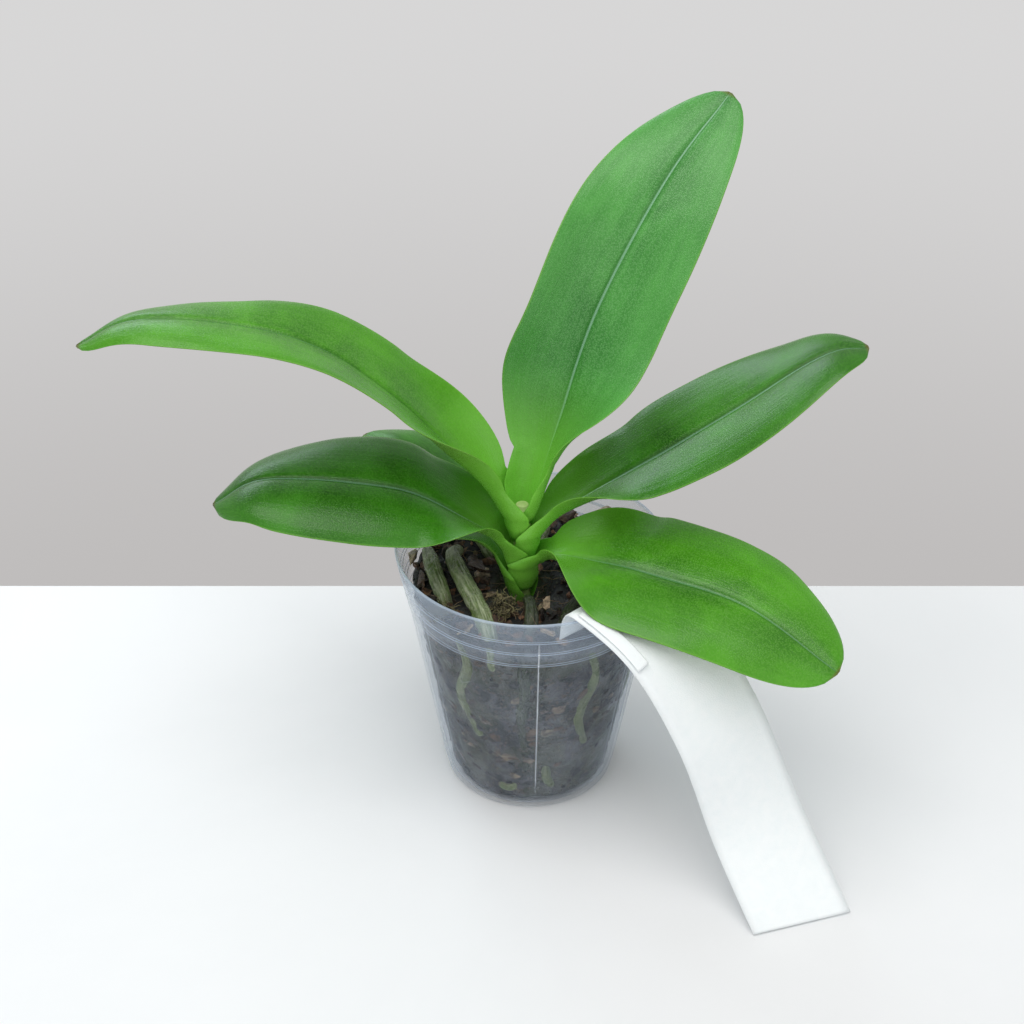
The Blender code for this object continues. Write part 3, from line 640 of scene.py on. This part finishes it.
DRAIN_HOLES, DRAIN_RADIUS, DRAIN_CIRCLE, DRAIN_TURN = 6, 3.0 * MM, 19.0 * MM, 0.37


def outer_radius(height):
    return BASE_RADIUS + (RIM_RADIUS - BASE_RADIUS) * height / POT_HEIGHT


def inner_radius(height):
    return outer_radius(height) - STEPS_LOST - WALL


# %% Pot wall
def wall_line(inset):
    """The wall's line from the rim down to the foot, moved in by the inset."""
    line = [(RIM_RADIUS - inset, POT_HEIGHT - RIM_ROUNDING)]
    for number, drop in enumerate(COLLAR_STEPS):
        height = POT_HEIGHT - drop
        above = outer_radius(height) - number * STEP_IN - inset
        line += [(above, height + 0.3 * MM), (above - 0.1 * MM, height + 0.12 * MM),
                 (above - STEP_IN + 0.05 * MM, height - 0.12 * MM), (above - STEP_IN, height - 0.3 * MM)]
    return line + [(outer_radius(height) - STEPS_LOST - inset, height) for height in WALL_HEIGHTS]


outside, inside = wall_line(0.0), wall_line(WALL)
foot_radius = outer_radius(0) - STEPS_LOST - FOOT_ROUNDING
for k in range(5):
    turn = math.radians(90 * k / 4)
    outside.append((foot_radius + FOOT_ROUNDING * math.cos(turn), FOOT_ROUNDING * (1 - math.sin(turn))))
inside += [(outer_radius(FOOT_ROUNDING) - STEPS_LOST - WALL, FOOT_ROUNDING + FLOOR), (foot_radius, FLOOR)]
PROFILE = [
    *((radius, FLOOR) for radius in FLOOR_RINGS), *reversed(inside), (RIM_RADIUS - WALL / 2, POT_HEIGHT),
    *outside, *((radius, 0.0) for radius in reversed(FLOOR_RINGS)),
]

angles = {math.tau * k / WALL_SIDES for k in range(WALL_SIDES)}
for angle in RIB_ANGLES:
    middle = math.radians(angle) % math.tau
    angles = {a for a in angles if abs(a - middle) * RIB_RADIUS > 2 * RIB_HALF_WIDTH}
    angles |= {middle + share * RIB_HALF_WIDTH / RIB_RADIUS for share in (-1.6, -1, -0.5, 0, 0.5, 1, 1.6)}
angles = sorted(angles)


def rib_share(angle, height):
    """How far a point of the wall lies on a rib, from 0 to 1."""
    off = min(abs((angle - math.radians(a) + math.pi) % math.tau - math.pi) for a in RIB_ANGLES)
    ends = ease(5 * MM, 9 * MM, height) * (1 - ease(POT_HEIGHT - 10 * MM, POT_HEIGHT - 8 * MM, height))
    return max(0.0, 1 - off * RIB_RADIUS / RIB_HALF_WIDTH / 1.2) * ends


def step_share(height):
    """1 in the small slopes between the collar's steps, which get more haze: a painted highlight where these
    slopes catch the light.
    """
    return max(1.0 if abs(POT_HEIGHT - drop - height) < 0.2 * MM else 0.0 for drop in COLLAR_STEPS)


rows, ribs, steps, heights = [], [], [], []
for radius, height in PROFILE:
    grown = [rib_share(angle, height) if radius > 25 * MM else 0.0 for angle in angles]
    rows.append([
        way_at(angle) * (radius - share * RIB_DEPTH) + raised(height)
        for angle, share in zip(angles, grown)
    ])
    ribs.append(grown)
    steps.append([step_share(height)] * len(angles))
    heights.append([height / POT_HEIGHT] * len(angles))
pot_mesh = loft(rows, {"rib": ribs, "step": steps, "height": heights})

# %% Pot finish
pot_finish, tree, shader, place = new_material("clear_pot_plastic")
rib, step, level = (attribute(tree, kept) for kept in ("rib", "step", "height"))
# Where the sheet turns edge-on to the view it gets more haze and whiteness: a painted reflection.
edge_on_painted_reflection = add_node(tree, "LayerWeight", {"Blend": 0.42}).outputs["Facing"]
smears = mottling(tree, place, 38.0, 0.2, (0.46, 0.56, 0.70), (0.66, 0.77, 0.90))
# The extra haze in the collar's step slopes is a painted highlight.
haze = plus(
    tree, 0.035, times(tree, smears["Mask"], 0.05), times(tree, rib, 0.4), times(tree, step, 0.5),
    softly(tree, level, 0.77, 0.84, 0.0, 0.14), softly(tree, level, 0.985, 1.0, 0.0, 0.35),
    softly(tree, edge_on_painted_reflection, 0.45, 1.0, 0.0, 0.36),
)
tree.links.new(reckon(tree, "MINIMUM", haze, 0.95), shader.inputs["Alpha"])
colour = mixed(tree, rib, smears["Colour"], (0.93, 0.96, 1.0))
coat(tree, shader, colour, wetness(tree, place, 50.0, 0.28, 0.12))

# %% Pot with its drain holes
pot = show("pot_wall", pot_mesh, pot_finish, "clear_plastic", "pot")
for number in range(DRAIN_HOLES):
    angle = math.tau * (number + DRAIN_TURN) / DRAIN_HOLES
    shape = bmesh.new()
    bmesh.ops.create_cone(shape, cap_ends=True, segments=24, radius1=DRAIN_RADIUS, radius2=DRAIN_RADIUS,
                          depth=10 * MM)
    punch = placed("drain_punch", mesh_of(shape, "drain_punch"))
    punch.location = way_at(angle) * DRAIN_CIRCLE
    boolean = pot.modifiers.new("drain", "BOOLEAN")
    boolean.operation = "DIFFERENCE"
    boolean.object = punch
    bpy.context.view_layer.update()
    cut_mesh = bpy.data.meshes.new_from_object(pot.evaluated_get(bpy.context.evaluated_depsgraph_get()))
    pot.modifiers.clear()
    pot.data = cut_mesh
    bpy.data.objects.remove(punch)
print("pot:", len(pot.data.polygons), "faces,", len(RIB_ANGLES), "ribs")

# %% [markdown]
# ## The bark mix
#
# Orchid mix is loose: flakes of bark, crumbs and fibre, with air between them. A lumpy turned body fills
# the pot so that no light shines through, and flakes lie on it by the hundred, over the top and pressed
# against the wall. Each flake is the hull of a few random points, which gives the flat faces and sharp
# corners of broken bark, and its own tone, which tells it from its neighbours.

# %% Mix sizes
MIX_TOP = 79.0 * MM
MIX_FOOT = 3.6 * MM
MIX_GAP = 1.2 * MM
MIX_SIDES = 128
TOP_RINGS = 22
WALL_RINGS = 33
TOP_FLAKES = 330
WALL_FLAKES = 420
COLLAR_RADIUS = 8.8 * MM
COLLAR_DEPTH = 6.5 * MM
# Near black: the damp mix, and painted shade where the body shows between the flakes.
DAMP_AND_SHADE_DARK = (0.010, 0.010, 0.011)


def mix_height(x, y):
    """The uneven top of the mix, with a dip round the stem."""
    lumps = noise.noise(Vector((x, y, 0)) / (6 * MM)) * 1.3 * MM
    from_stem = math.hypot(x - STEM_AXIS.x, y - STEM_AXIS.y)
    dip = COLLAR_DEPTH * (1 - ease(COLLAR_RADIUS, COLLAR_RADIUS + 4 * MM, from_stem))
    return MIX_TOP - 1.2 * MM + lumps - dip


def random_spot(rule, widest):
    """An even random place on the mix, at most this far from the pot's axis."""
    angle, reach = rule.uniform(0, math.tau), widest * math.sqrt(rule.random())
    return reach * math.cos(angle), reach * math.sin(angle)


# %% Mix body
rows = []
for ring in range(1, TOP_RINGS):
    reach = (inner_radius(MIX_TOP) - MIX_GAP) * (ring / TOP_RINGS)
    spots = [(reach * math.cos(a), reach * math.sin(a)) for a in
             (math.tau * k / MIX_SIDES for k in range(MIX_SIDES))]
    rows.append([Vector((x, y, mix_height(x, y))) for x, y in spots])
shoulder = MIX_TOP - 1.5 * MM
for k in range(WALL_RINGS + 1):
    height = shoulder - (shoulder - MIX_FOOT) * k / WALL_RINGS
    ring = []
    for step in range(MIX_SIDES):
        way = way_at(math.tau * step / MIX_SIDES)
        spot = way * inner_radius(height) + raised(height)
        sunk = 1.3 * MM * (0.5 + 0.5 * noise.noise(spot / (5 * MM)))
        sunk += 0.5 * MM * noise.noise(spot / (1.7 * MM))
        ring.append(way * (inner_radius(height) - MIX_GAP - sunk) + raised(height))
    rows.append(ring)
rows.append([point * 0.5 + raised(MIX_FOOT * 0.5) for point in rows[-1]])
mix_mesh = loft(rows)

mix_finish, tree, shader, place = new_material("damp_mix_painted_shade")
base = mottling(tree, place, 150.0, 0.34, DAMP_AND_SHADE_DARK, (0.105, 0.108, 0.120))
algae = mottling(tree, place, 62.0, 0.38)["Mask"]
crumbs = grains(tree, place, 600.0, 0.42)
colour = tinted(tree, base["Colour"], (0.060, 0.072, 0.026), algae, 0.5)
colour = tinted(tree, colour, (0.16, 0.12, 0.085), crumbs, 0.5)
level = add_node(tree, "SeparateXYZ", {0: place}).outputs["Z"]
# The top of the body is painted near-black: painted shade in the gaps between the flakes.
colour = mixed(tree, softly(tree, level, 0.074, 0.078, 0.0, 0.8), colour, DAMP_AND_SHADE_DARK)
wet = wetness(tree, place, 90.0, 0.9, 0.4)
coat(tree, shader, colour, wet, plus(tree, base["Mask"], crumbs), 0.7 * MM)
show("mix_body", mix_mesh, mix_finish, "mix", "bark_mix")

# %% Bark finish
def bark_finish(name, dark, brown, red, pale):
    made, tree, shader, place = new_material(name)
    tone, colour = attribute(tree, "tone"), dark
    for other, low, high in ((brown, 0.1, 0.5), (red, 0.5, 0.8), (pale, 0.86, 1.0)):
        colour = mixed(tree, softly(tree, tone, low, high), colour, other)
    layers = mottling(tree, place, 420.0, 0.32, (0.3, 0.3, 0.3), (1.35, 1.3, 1.2))
    colour = mixed(tree, 1.0, colour, layers["Colour"], "MULTIPLY")
    coat(tree, shader, colour, wetness(tree, place, 130.0, 0.85, 0.32), layers["Mask"], 0.35 * MM)
    return made


BARK = bark_finish(
    "bark_flake", (0.024, 0.018, 0.015), (0.095, 0.055, 0.035), (0.17, 0.085, 0.050), (0.40, 0.32, 0.23))
WALL_BARK = bark_finish(
    "wall_bark", (0.012, 0.012, 0.013), (0.055, 0.046, 0.040), (0.115, 0.078, 0.055), (0.21, 0.18, 0.14))


# %% Flakes of bark
FLAKE_CORNERS = 10


def add_hull(shape, centre, size, turn, rule):
    """One angular flake in the bmesh: the hull of random points, stretched, turned and put in place."""
    points = []
    for _ in range(FLAKE_CORNERS):
        way = Vector([rule.gauss(0, 1) for _ in range(3)]).normalized()
        local = Vector(way[i] * size[i] / 2 for i in range(3))
        local.rotate(Euler(turn))
        points.append(shape.verts.new(centre + local))
    made = bmesh.ops.convex_hull(shape, input=points)
    loose = {thing for thing in made["geom_interior"] + made["geom_unused"]
             if isinstance(thing, bmesh.types.BMVert)}
    bmesh.ops.delete(shape, geom=list(loose), context="VERTS")


def flakes(name, places, seed, material, slot):
    """Many flakes in one mesh. places gives each one's centre, size and turn."""
    rule = random.Random(seed)
    shape = bmesh.new()
    layer = shape.verts.layers.float.new("tone")
    for centre, size, turn in places:
        before = set(shape.verts)
        add_hull(shape, centre, size, turn, rule)
        tone = rule.random()
        for point in shape.verts:
            if point not in before:
                point[layer] = tone
    bmesh.ops.recalc_face_normals(shape, faces=shape.faces)
    made = mesh_of(shape, name)
    print(name, len(places), "flakes,", len(made.polygons), "faces")
    show(name, made, material, slot)


rule = random.Random(5)
top_places = []
mouth = inner_radius(MIX_TOP) - 2.5 * MM
for _ in range(TOP_FLAKES):
    x, y = random_spot(rule, mouth)
    if math.hypot(x - STEM_AXIS.x, y - STEM_AXIS.y) < COLLAR_RADIUS:
        continue
    length = rule.uniform(1.6, 7.5) * MM
    size = (length, length * rule.uniform(0.45, 0.85), rule.uniform(0.9, 2.2) * MM)
    turn = (rule.gauss(0, 0.4), rule.gauss(0, 0.4), rule.uniform(0, math.tau))
    top_places.append((Vector((x, y, mix_height(x, y) + rule.uniform(0.2, 1.3) * MM)), size, turn))
flakes("bark_flakes_top", top_places, 11, BARK, "bark")

wall_places = []
for _ in range(WALL_FLAKES):
    angle = rule.uniform(0, math.tau)
    height = rule.uniform(6, 76) * MM
    length = rule.uniform(1.5, 7.0) * MM
    size = (0.9 * MM, length, length * rule.uniform(0.4, 0.9))
    reach = inner_radius(height) - 1.5 * MM - (length / 2) ** 2 / (2 * inner_radius(height))
    wall_places.append((way_at(angle) * reach + raised(height), size, (rule.uniform(-0.6, 0.6), 0.17, angle)))
flakes("bark_flakes_wall", wall_places, 12, WALL_BARK, "bark")

# %% [markdown]
# ### The larger pieces of bark
#
# The frame has a solid for each large flake, so those keep their places. Each is grown again from its own
# solid: the faces are divided and pushed in and out by layered noise, because bark breaks along its layers.

# %% Worn copies of the frame's solids
LAYER_SIZE = 1.6 * MM
CHIP_TONES = (0.32, 0.42, 0.55, 0.25, 0.62, 0.38, 0.7, 0.3, 0.5, 0.45)


def worn_copy(node, name, material, slot, tone, rough, cuts=3):
    """A finer, weathered skin on a node's own solid."""
    shape = bmesh.new()
    shape.from_mesh(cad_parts[node].data)
    bmesh.ops.remove_doubles(shape, verts=shape.verts, dist=0.01 * MM)
    bmesh.ops.subdivide_edges(shape, edges=shape.edges[:], cuts=cuts, use_grid_fill=True)
    bmesh.ops.triangulate(shape, faces=shape.faces[:])
    shape.normal_update()
    layer = shape.verts.layers.float.new("tone")
    moved = []
    for point in shape.verts:
        layered = Vector((point.co.x, point.co.y, point.co.z * 2.2))
        depth = noise.noise(layered / LAYER_SIZE) + 0.5 * noise.noise(layered / (LAYER_SIZE * 0.35))
        moved.append(point.co + point.normal * rough * (depth - 0.35))
        point[layer] = tone
    for point, place in zip(shape.verts, moved):
        point.co = place
    show(name, mesh_of(shape, name), material, slot, node)


for number, tone in enumerate(CHIP_TONES, start=1):
    worn_copy(f"bark_chip_{number}", f"bark_piece_{number}", BARK, "bark", tone, 0.3 * MM)
PALE_BARK = bark_finish(
    "pale_bark", (0.16, 0.12, 0.09), (0.36, 0.28, 0.20), (0.50, 0.42, 0.32), (0.66, 0.60, 0.50))
worn_copy("pale_bark_chip", "pale_bark_piece", PALE_BARK, "dry_root", 0.8, 0.25 * MM)
worn_copy("papery_scrap", "papery_scrap_skin", PALE_BARK, "dry_root", 0.55, 0.15 * MM, 2)
worn_copy("dry_bract", "dry_bract_skin", BARK, "bark", 0.6, 0.12 * MM, 2)

# %% [markdown]
# ## The roots
#
# An orchid's root is a firm cord in a spongy, silvery skin that turns green where it is wet. It is knobbly,
# never quite round, and tapers to a blunt tip. Each root is a tube swept along the same route as its solid,
# with enough sides to take small lumps, and its finish streaks along it.

# %% Tubes
def tube(points, radius_at, sides, lump, seed):
    """Rows round a path. radius_at gives the radius for a share of the length."""
    rows, along, around = [], [], []
    count = len(points) - 1
    across = None
    for k, point in enumerate(points):
        ahead = (points[min(count, k + 1)] - points[max(0, k - 1)]).normalized()
        start = across or (Vector((1, 0, 0)) if abs(ahead.x) < 0.8 else Vector((0, 1, 0)))
        across = (start - ahead * start.dot(ahead)).normalized()
        upper = ahead.cross(across)
        row = []
        for step in range(sides):
            angle = math.tau * step / sides
            way = across * math.cos(angle) + upper * math.sin(angle)
            bumps = 1 + lump * noise.noise((point + way * radius_at(k / count)) / (2.6 * MM) + seed)
            row.append(point + way * radius_at(k / count) * bumps)
        rows.append(row)
        along.append([k / count] * sides)
        around.append([math.sin(math.pi * step / sides) for step in range(sides)])
    return rows, along, around


def root_piece(node, radius, points, finish, tip=0.5):
    """A knobbly root through the frame's own route."""
    steps = 16 * (len(points) - 1)
    even, length = smooth_path(points, steps)

    def radius_at(t):
        ends = tip + (1 - tip) * min(1.0, 2.0 * t + 0.3, 2.0 * (1 - t) + 0.3)
        cap = math.sqrt(max(0.02, 1 - max(0.0, 1 - min(t, 1 - t) * length / radius) ** 2))
        knobs = 1 + 0.05 * math.sin(t * length / (3.3 * MM)) * math.sin(t * 7 + radius * 900)
        return radius * ends * cap * knobs

    rows, along, around = tube(even, radius_at, 26, 0.09, Vector((radius * 4000, 0, 0)))
    along = [[value * length * 100 for value in row] for row in along]
    material, slot = ROOT_FINISHES[finish]
    show(f"{node}_skin", loft(rows, {"along": along, "across": around}), material, slot, node)


# %% Root finishes
def root_finish(name, shade, body, silver, streak_share, dry, wet, relief):
    """shade shows through the skin, body is its colour, and silver is its papery streaks."""
    made, tree, shader, place = new_material(name)
    along, side = attribute(tree, "along"), attribute(tree, "across")
    base = mottling(tree, place, 170.0, 0.24, shade, body)
    papery = streaks(tree, along, side, 13.0, 1.3)
    colour = tinted(tree, base["Colour"], silver, papery, streak_share)
    colour = tinted(tree, colour, silver, grains(tree, place, 650.0, 0.4), 0.3)
    height = plus(tree, papery, times(tree, base["Mask"], 1.4))
    coat(tree, shader, colour, wetness(tree, place, 120.0, dry, wet), height, relief)
    return made


ROOT_FINISHES = {
    kind: (root_finish(*finish), slot) for kind, slot, *finish in (
        ("silver", "root", "silver_root_skin",
         (0.050, 0.078, 0.018), (0.150, 0.220, 0.060), (0.47, 0.50, 0.35), 0.55, 0.50, 0.12, 0.3 * MM),
        ("wet", "dark_root", "wet_root_skin",
         (0.006, 0.009, 0.004), (0.024, 0.036, 0.015), (0.10, 0.12, 0.055), 0.30, 0.30, 0.08, 0.3 * MM),
        ("dry", "dry_root", "dry_root_skin",
         (0.20, 0.14, 0.085), (0.45, 0.35, 0.24), (0.72, 0.65, 0.53), 0.55, 0.85, 0.65, 0.35 * MM),
        ("wall", "root", "wall_root_skin",
         (0.050, 0.070, 0.025), (0.130, 0.180, 0.060), (0.28, 0.31, 0.18), 0.5, 0.5, 0.2, 0.25 * MM),
    )
}

# %% Roots over the mix
TOP_ROOTS = (
    ("silver_root", 3.1, "silver",
     [(-24, 13, 79), (-26, 4, 83), (-22, -11, 83.4), (-16.5, -25, 81.5), (-13, -34, 75.5), (-12, -33.5, 64)]),
    ("left_root", 2.7, "silver",
     [(-35, 13, 79), (-34, 5, 82.5), (-31.5, -6, 82.5), (-28.5, -14, 78.5), (-25, -18, 70)]),
    ("front_root", 2.8, "wet",
     [(-1.5, -17, 80.5), (-0.5, -22, 82.5), (0, -28.5, 81.5), (-1, -34, 76), (-2.4, -35.6, 68),
      (-2, -33.8, 56), (-3, -31.4, 42), (-1.5, -29.2, 28), (-2, -26.8, 14)]),
    ("front_right_root", 2.4, "wet",
     [(26, -10, 79.5), (18.5, -17.5, 82), (12.5, -25, 81.2), (9, -32.5, 75), (8.5, -32.5, 64)]),
    ("dry_root", 2.1, "dry", [(6.5, 4, 84), (11, 11.5, 85.2), (19, 18.5, 86.6), (27.5, 25, 88.2)]),
    ("back_left_root", 2.8, "silver", [(-13, 8, 78.5), (-17, 18, 82), (-17, 27, 80), (-14, 33, 70)]),
    ("back_root", 2.6, "silver", [(1, 10, 78), (4, 20, 82), (3, 29, 80), (1, 33.5, 70)]),
    ("right_root", 2.5, "silver", [(11, -5, 79), (21, -1, 82), (30, 3, 80), (34.5, 4.5, 71)]),
)
for node, radius, finish, places in TOP_ROOTS:
    root_piece(node, radius * MM, [Vector(place) * MM for place in places], finish)

# %% Roots inside the wall
WALL_ROOTS = (
    ("wall_root_front_left", 2.2, [(-128, 76), (-124, 64), (-132, 48), (-122, 30)]),
    ("wall_root_front_right", 2.0, [(-60, 72), (-55, 58), (-62, 42), (-54, 26)]),
    ("wall_root_foot_left", 1.8, [(-113, 9), (-106, 8), (-99, 10)]),
    ("wall_root_foot_right", 1.8, [(-74, 8), (-79, 13), (-80, 20)]),
    ("wall_root_right", 2.2, [(-12, 62), (-4, 48), (-10, 30)]),
    ("wall_root_back", 2.3, [(72, 66), (60, 50), (74, 32), (66, 18)]),
    ("wall_root_left", 2.3, [(170, 70), (158, 52), (168, 34), (160, 18)]),
)
for node, radius, stations in WALL_ROOTS:
    points = []
    for angle, height in stations:
        reach = inner_radius(height * MM) - 0.35 * MM - radius * 1.1 * MM
        points.append(way_at(math.radians(angle)) * reach + raised(height * MM))
    root_piece(node, radius * MM, points, "wall", 0.6)
print("roots:", len(TOP_ROOTS) + len(WALL_ROOTS))

# %% [markdown]
# ## Moss and fibre
#
# Between the flakes lie clumps of moss and long fibres of coir. Hair particles would not travel with the
# exported model, so each strand is a thin real tube on a wandering path, and each clump is many strands.

# %% Strands
def wander(start, heading, length, curl, flat, rule, steps=9):
    """A path that sets off one way and keeps turning a little. flat holds it near the level."""
    points = [start.copy()]
    way = heading.normalized()
    for _ in range(steps):
        way += Vector((rule.gauss(0, curl), rule.gauss(0, curl), rule.gauss(0, curl * flat)))
        way.normalize()
        points.append(points[-1] + way * length / steps)
    return points


def strands(name, paths, radius, material, slot, seed, *nodes):
    """Many thin tubes in one mesh, each with its own tone."""
    rule = random.Random(seed)
    shape = bmesh.new()
    layer = shape.verts.layers.float.new("tone")
    for path in paths:
        tone, thick = rule.random(), radius * rule.uniform(0.6, 1.4)
        rows, _, _ = tube(path, lambda t: thick * (1 - 0.6 * t), 5, 0.0, Vector())
        grid = join_rows(shape, rows)
        for point in (point for row in grid for point in row):
            point[layer] = tone
        shape.faces.new(grid[0][::-1])
        shape.faces.new(grid[-1])
    bmesh.ops.recalc_face_normals(shape, faces=shape.faces)
    made = mesh_of(shape, name)
    made.shade_smooth()
    print(name, len(paths), "strands")
    show(name, made, material, slot, *nodes)


# %% Fibre finish
def fibre_finish(name, dark, light):
    made, tree, shader, place = new_material(name)
    colour = mixed(tree, softly(tree, attribute(tree, "tone"), 0.0, 1.0), dark, light)
    cloudy = mottling(tree, place, 300.0, 0.2, (0.55, 0.55, 0.5), (1.2, 1.2, 1.15))
    coat(tree, shader, mixed(tree, 1.0, colour, cloudy["Colour"], "MULTIPLY"), 0.75)
    return made


MOSS = fibre_finish("moss_and_fibre", (0.045, 0.040, 0.020), (0.22, 0.19, 0.095))
COIR = fibre_finish("coir", (0.050, 0.032, 0.020), (0.30, 0.21, 0.13))

# %% Moss clumps
TUFTS = (
    ("moss_tuft_front", (-9, -21.5, 81.4), (8.5, 13, 6.5), 130),
    ("moss_tuft_left", (-28, -24, 80), (8, 7, 6), 90),
    ("moss_tuft_back", (-7, 29, 79.6), (6, 7, 4.5), 60),
)
for seed, (node, centre, size, count) in enumerate(TUFTS):
    rule = random.Random(100 + seed)
    paths = []
    for _ in range(count):
        way = Vector([rule.gauss(0, 1) for _ in range(3)]).normalized()
        start = Vector(centre[i] + way[i] * size[i] * 0.36 for i in range(3)) * MM
        sideways = way.cross(Vector([rule.gauss(0, 1) for _ in range(3)]))
        paths.append(wander(start, sideways, rule.uniform(3, 6) * MM, 0.55, 0.7, rule))
    strands(f"{node}_strands", paths, 0.2 * MM, MOSS, "moss", seed, node)

# %% Loose fibres
LOOSE_FIBRES = 210

rule = random.Random(77)
paths = []
for _ in range(LOOSE_FIBRES):
    x, y = random_spot(rule, mouth * 0.93)
    start = Vector((x, y, mix_height(x, y) + rule.uniform(1.0, 2.4) * MM))
    heading = Vector((rule.gauss(0, 1), rule.gauss(0, 1), 0.1))
    path = wander(start, heading, rule.uniform(5, 13) * MM, 0.28, 0.35, rule)
    if all(math.hypot(point.x, point.y) < inner_radius(MIX_TOP) - 0.8 * MM for point in path):
        paths.append(path)
strands("coir_fibres", paths, 0.12 * MM, COIR, "moss", 9)

# %% [markdown]
# ## The stem
#
# The sheaths hide the stem, and its solid has the right shape, so it stays and only gets a finish.

# %% Stem finish
stem_finish, tree, shader, place = new_material("stem_skin")
base = mottling(tree, place, 160.0, 0.2, (0.26, 0.42, 0.10), (0.50, 0.60, 0.26))
coat(tree, shader, base["Colour"], 0.5, base["Mask"], 0.2 * MM)
stem_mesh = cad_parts["stem"].data
stem_mesh.materials.clear()
stem_mesh.materials.append(stem_finish)

# %% [markdown]
# ## The label
#
# The label is a strip of coated paper. It stands in the mix, folds over the rim and hangs in one long
# easy curve to the table. Stiff paper keeps straight across while it bends along, so a loft of straight
# rows shows it better than a cloth would.

# %% Label shape
LABEL_WIDTH = 33.5 * MM
LABEL_THICKNESS = 0.4 * MM
TAB_WIDTH = 4.6 * MM
TAB_LENGTH = 24.0 * MM
TAB_INSET = 1.2 * MM
TAB_START = 14.5 * MM
TAB_GAP = 0.7 * MM
# Each station: its place in mm, the way that the strip faces and its tilt, in degrees.
LABEL_LINE = (
    ((21.8, -28.8, 81.0), 39, 0),
    ((22.4, -29.3, 89.4), 41, 0),
    ((25.4, -32.5, 92.6), 44, 1),
    ((41.5, -46.2, 86.3), 47, 11),
    ((58.4, -54.7, 59.2), 40, 11),
    ((72.2, -61.8, 24.8), 29, 6),
    ((86.2, -82.5, 0.5), 17, 0),
)
LABEL_STEPS = 200
label_points = [Vector(place) * MM for place, _, _ in LABEL_LINE]
label_path, LABEL_LENGTH = smooth_path(label_points, LABEL_STEPS)
label_marks = [min(range(LABEL_STEPS + 1), key=lambda k: (label_path[k] - spot).length) / LABEL_STEPS
               for spot in label_points]


def label_strip(from_edge, to_edge, start, end, count, lift):
    """A closed strip of the label, between two places across it and two shares of its length."""
    azimuths, tilts = ([(mark, station[i]) for mark, station in zip(label_marks, LABEL_LINE)] for i in (1, 2))
    rows = []
    for k in range(count + 1):
        t = start + (end - start) * k / count
        low = min(int(t * LABEL_STEPS), LABEL_STEPS - 1)
        centre = label_path[low].lerp(label_path[low + 1], t * LABEL_STEPS - low)
        azimuth, tilt = math.radians(between(azimuths, t)), math.radians(between(tilts, t))
        level = math.cos(tilt)
        across = Vector((math.cos(azimuth) * level, math.sin(azimuth) * level, math.sin(tilt)))
        face = across.cross(label_path[low + 1] - label_path[low]).normalized()
        shares = [step / 10 for step in range(11)]
        top = [centre + across * (from_edge + (to_edge - from_edge) * s) + face * lift for s in shares]
        rows.append(top + [point - face * LABEL_THICKNESS for point in reversed(top)])
    return loft(rows)


# %% Label finish and pieces
paper, tree, shader, place = new_material("label_paper")
fibres = mottling(tree, place, 260.0, 0.15, (0.88, 0.935, 0.95), (0.93, 0.965, 0.975))
coat(tree, shader, fibres["Colour"], 0.42, grains(tree, place, 2200.0, 0.6), 0.02 * MM)

half = LABEL_WIDTH / 2
show("label_strip", label_strip(-half, half, 0.0, 1.0, 130, 0.0), paper, "label", "plant_label")
tab_start = TAB_START / LABEL_LENGTH
tab_mesh = label_strip(-half + TAB_INSET, -half + TAB_INSET + TAB_WIDTH, tab_start,
                       tab_start + TAB_LENGTH / LABEL_LENGTH, 30, -LABEL_THICKNESS - TAB_GAP)
show("label_tab_strip", tab_mesh, paper, "label", "label_tab")
print("label: flat size in mm", round(LABEL_WIDTH / MM, 1), "x", round(LABEL_LENGTH / MM, 1))
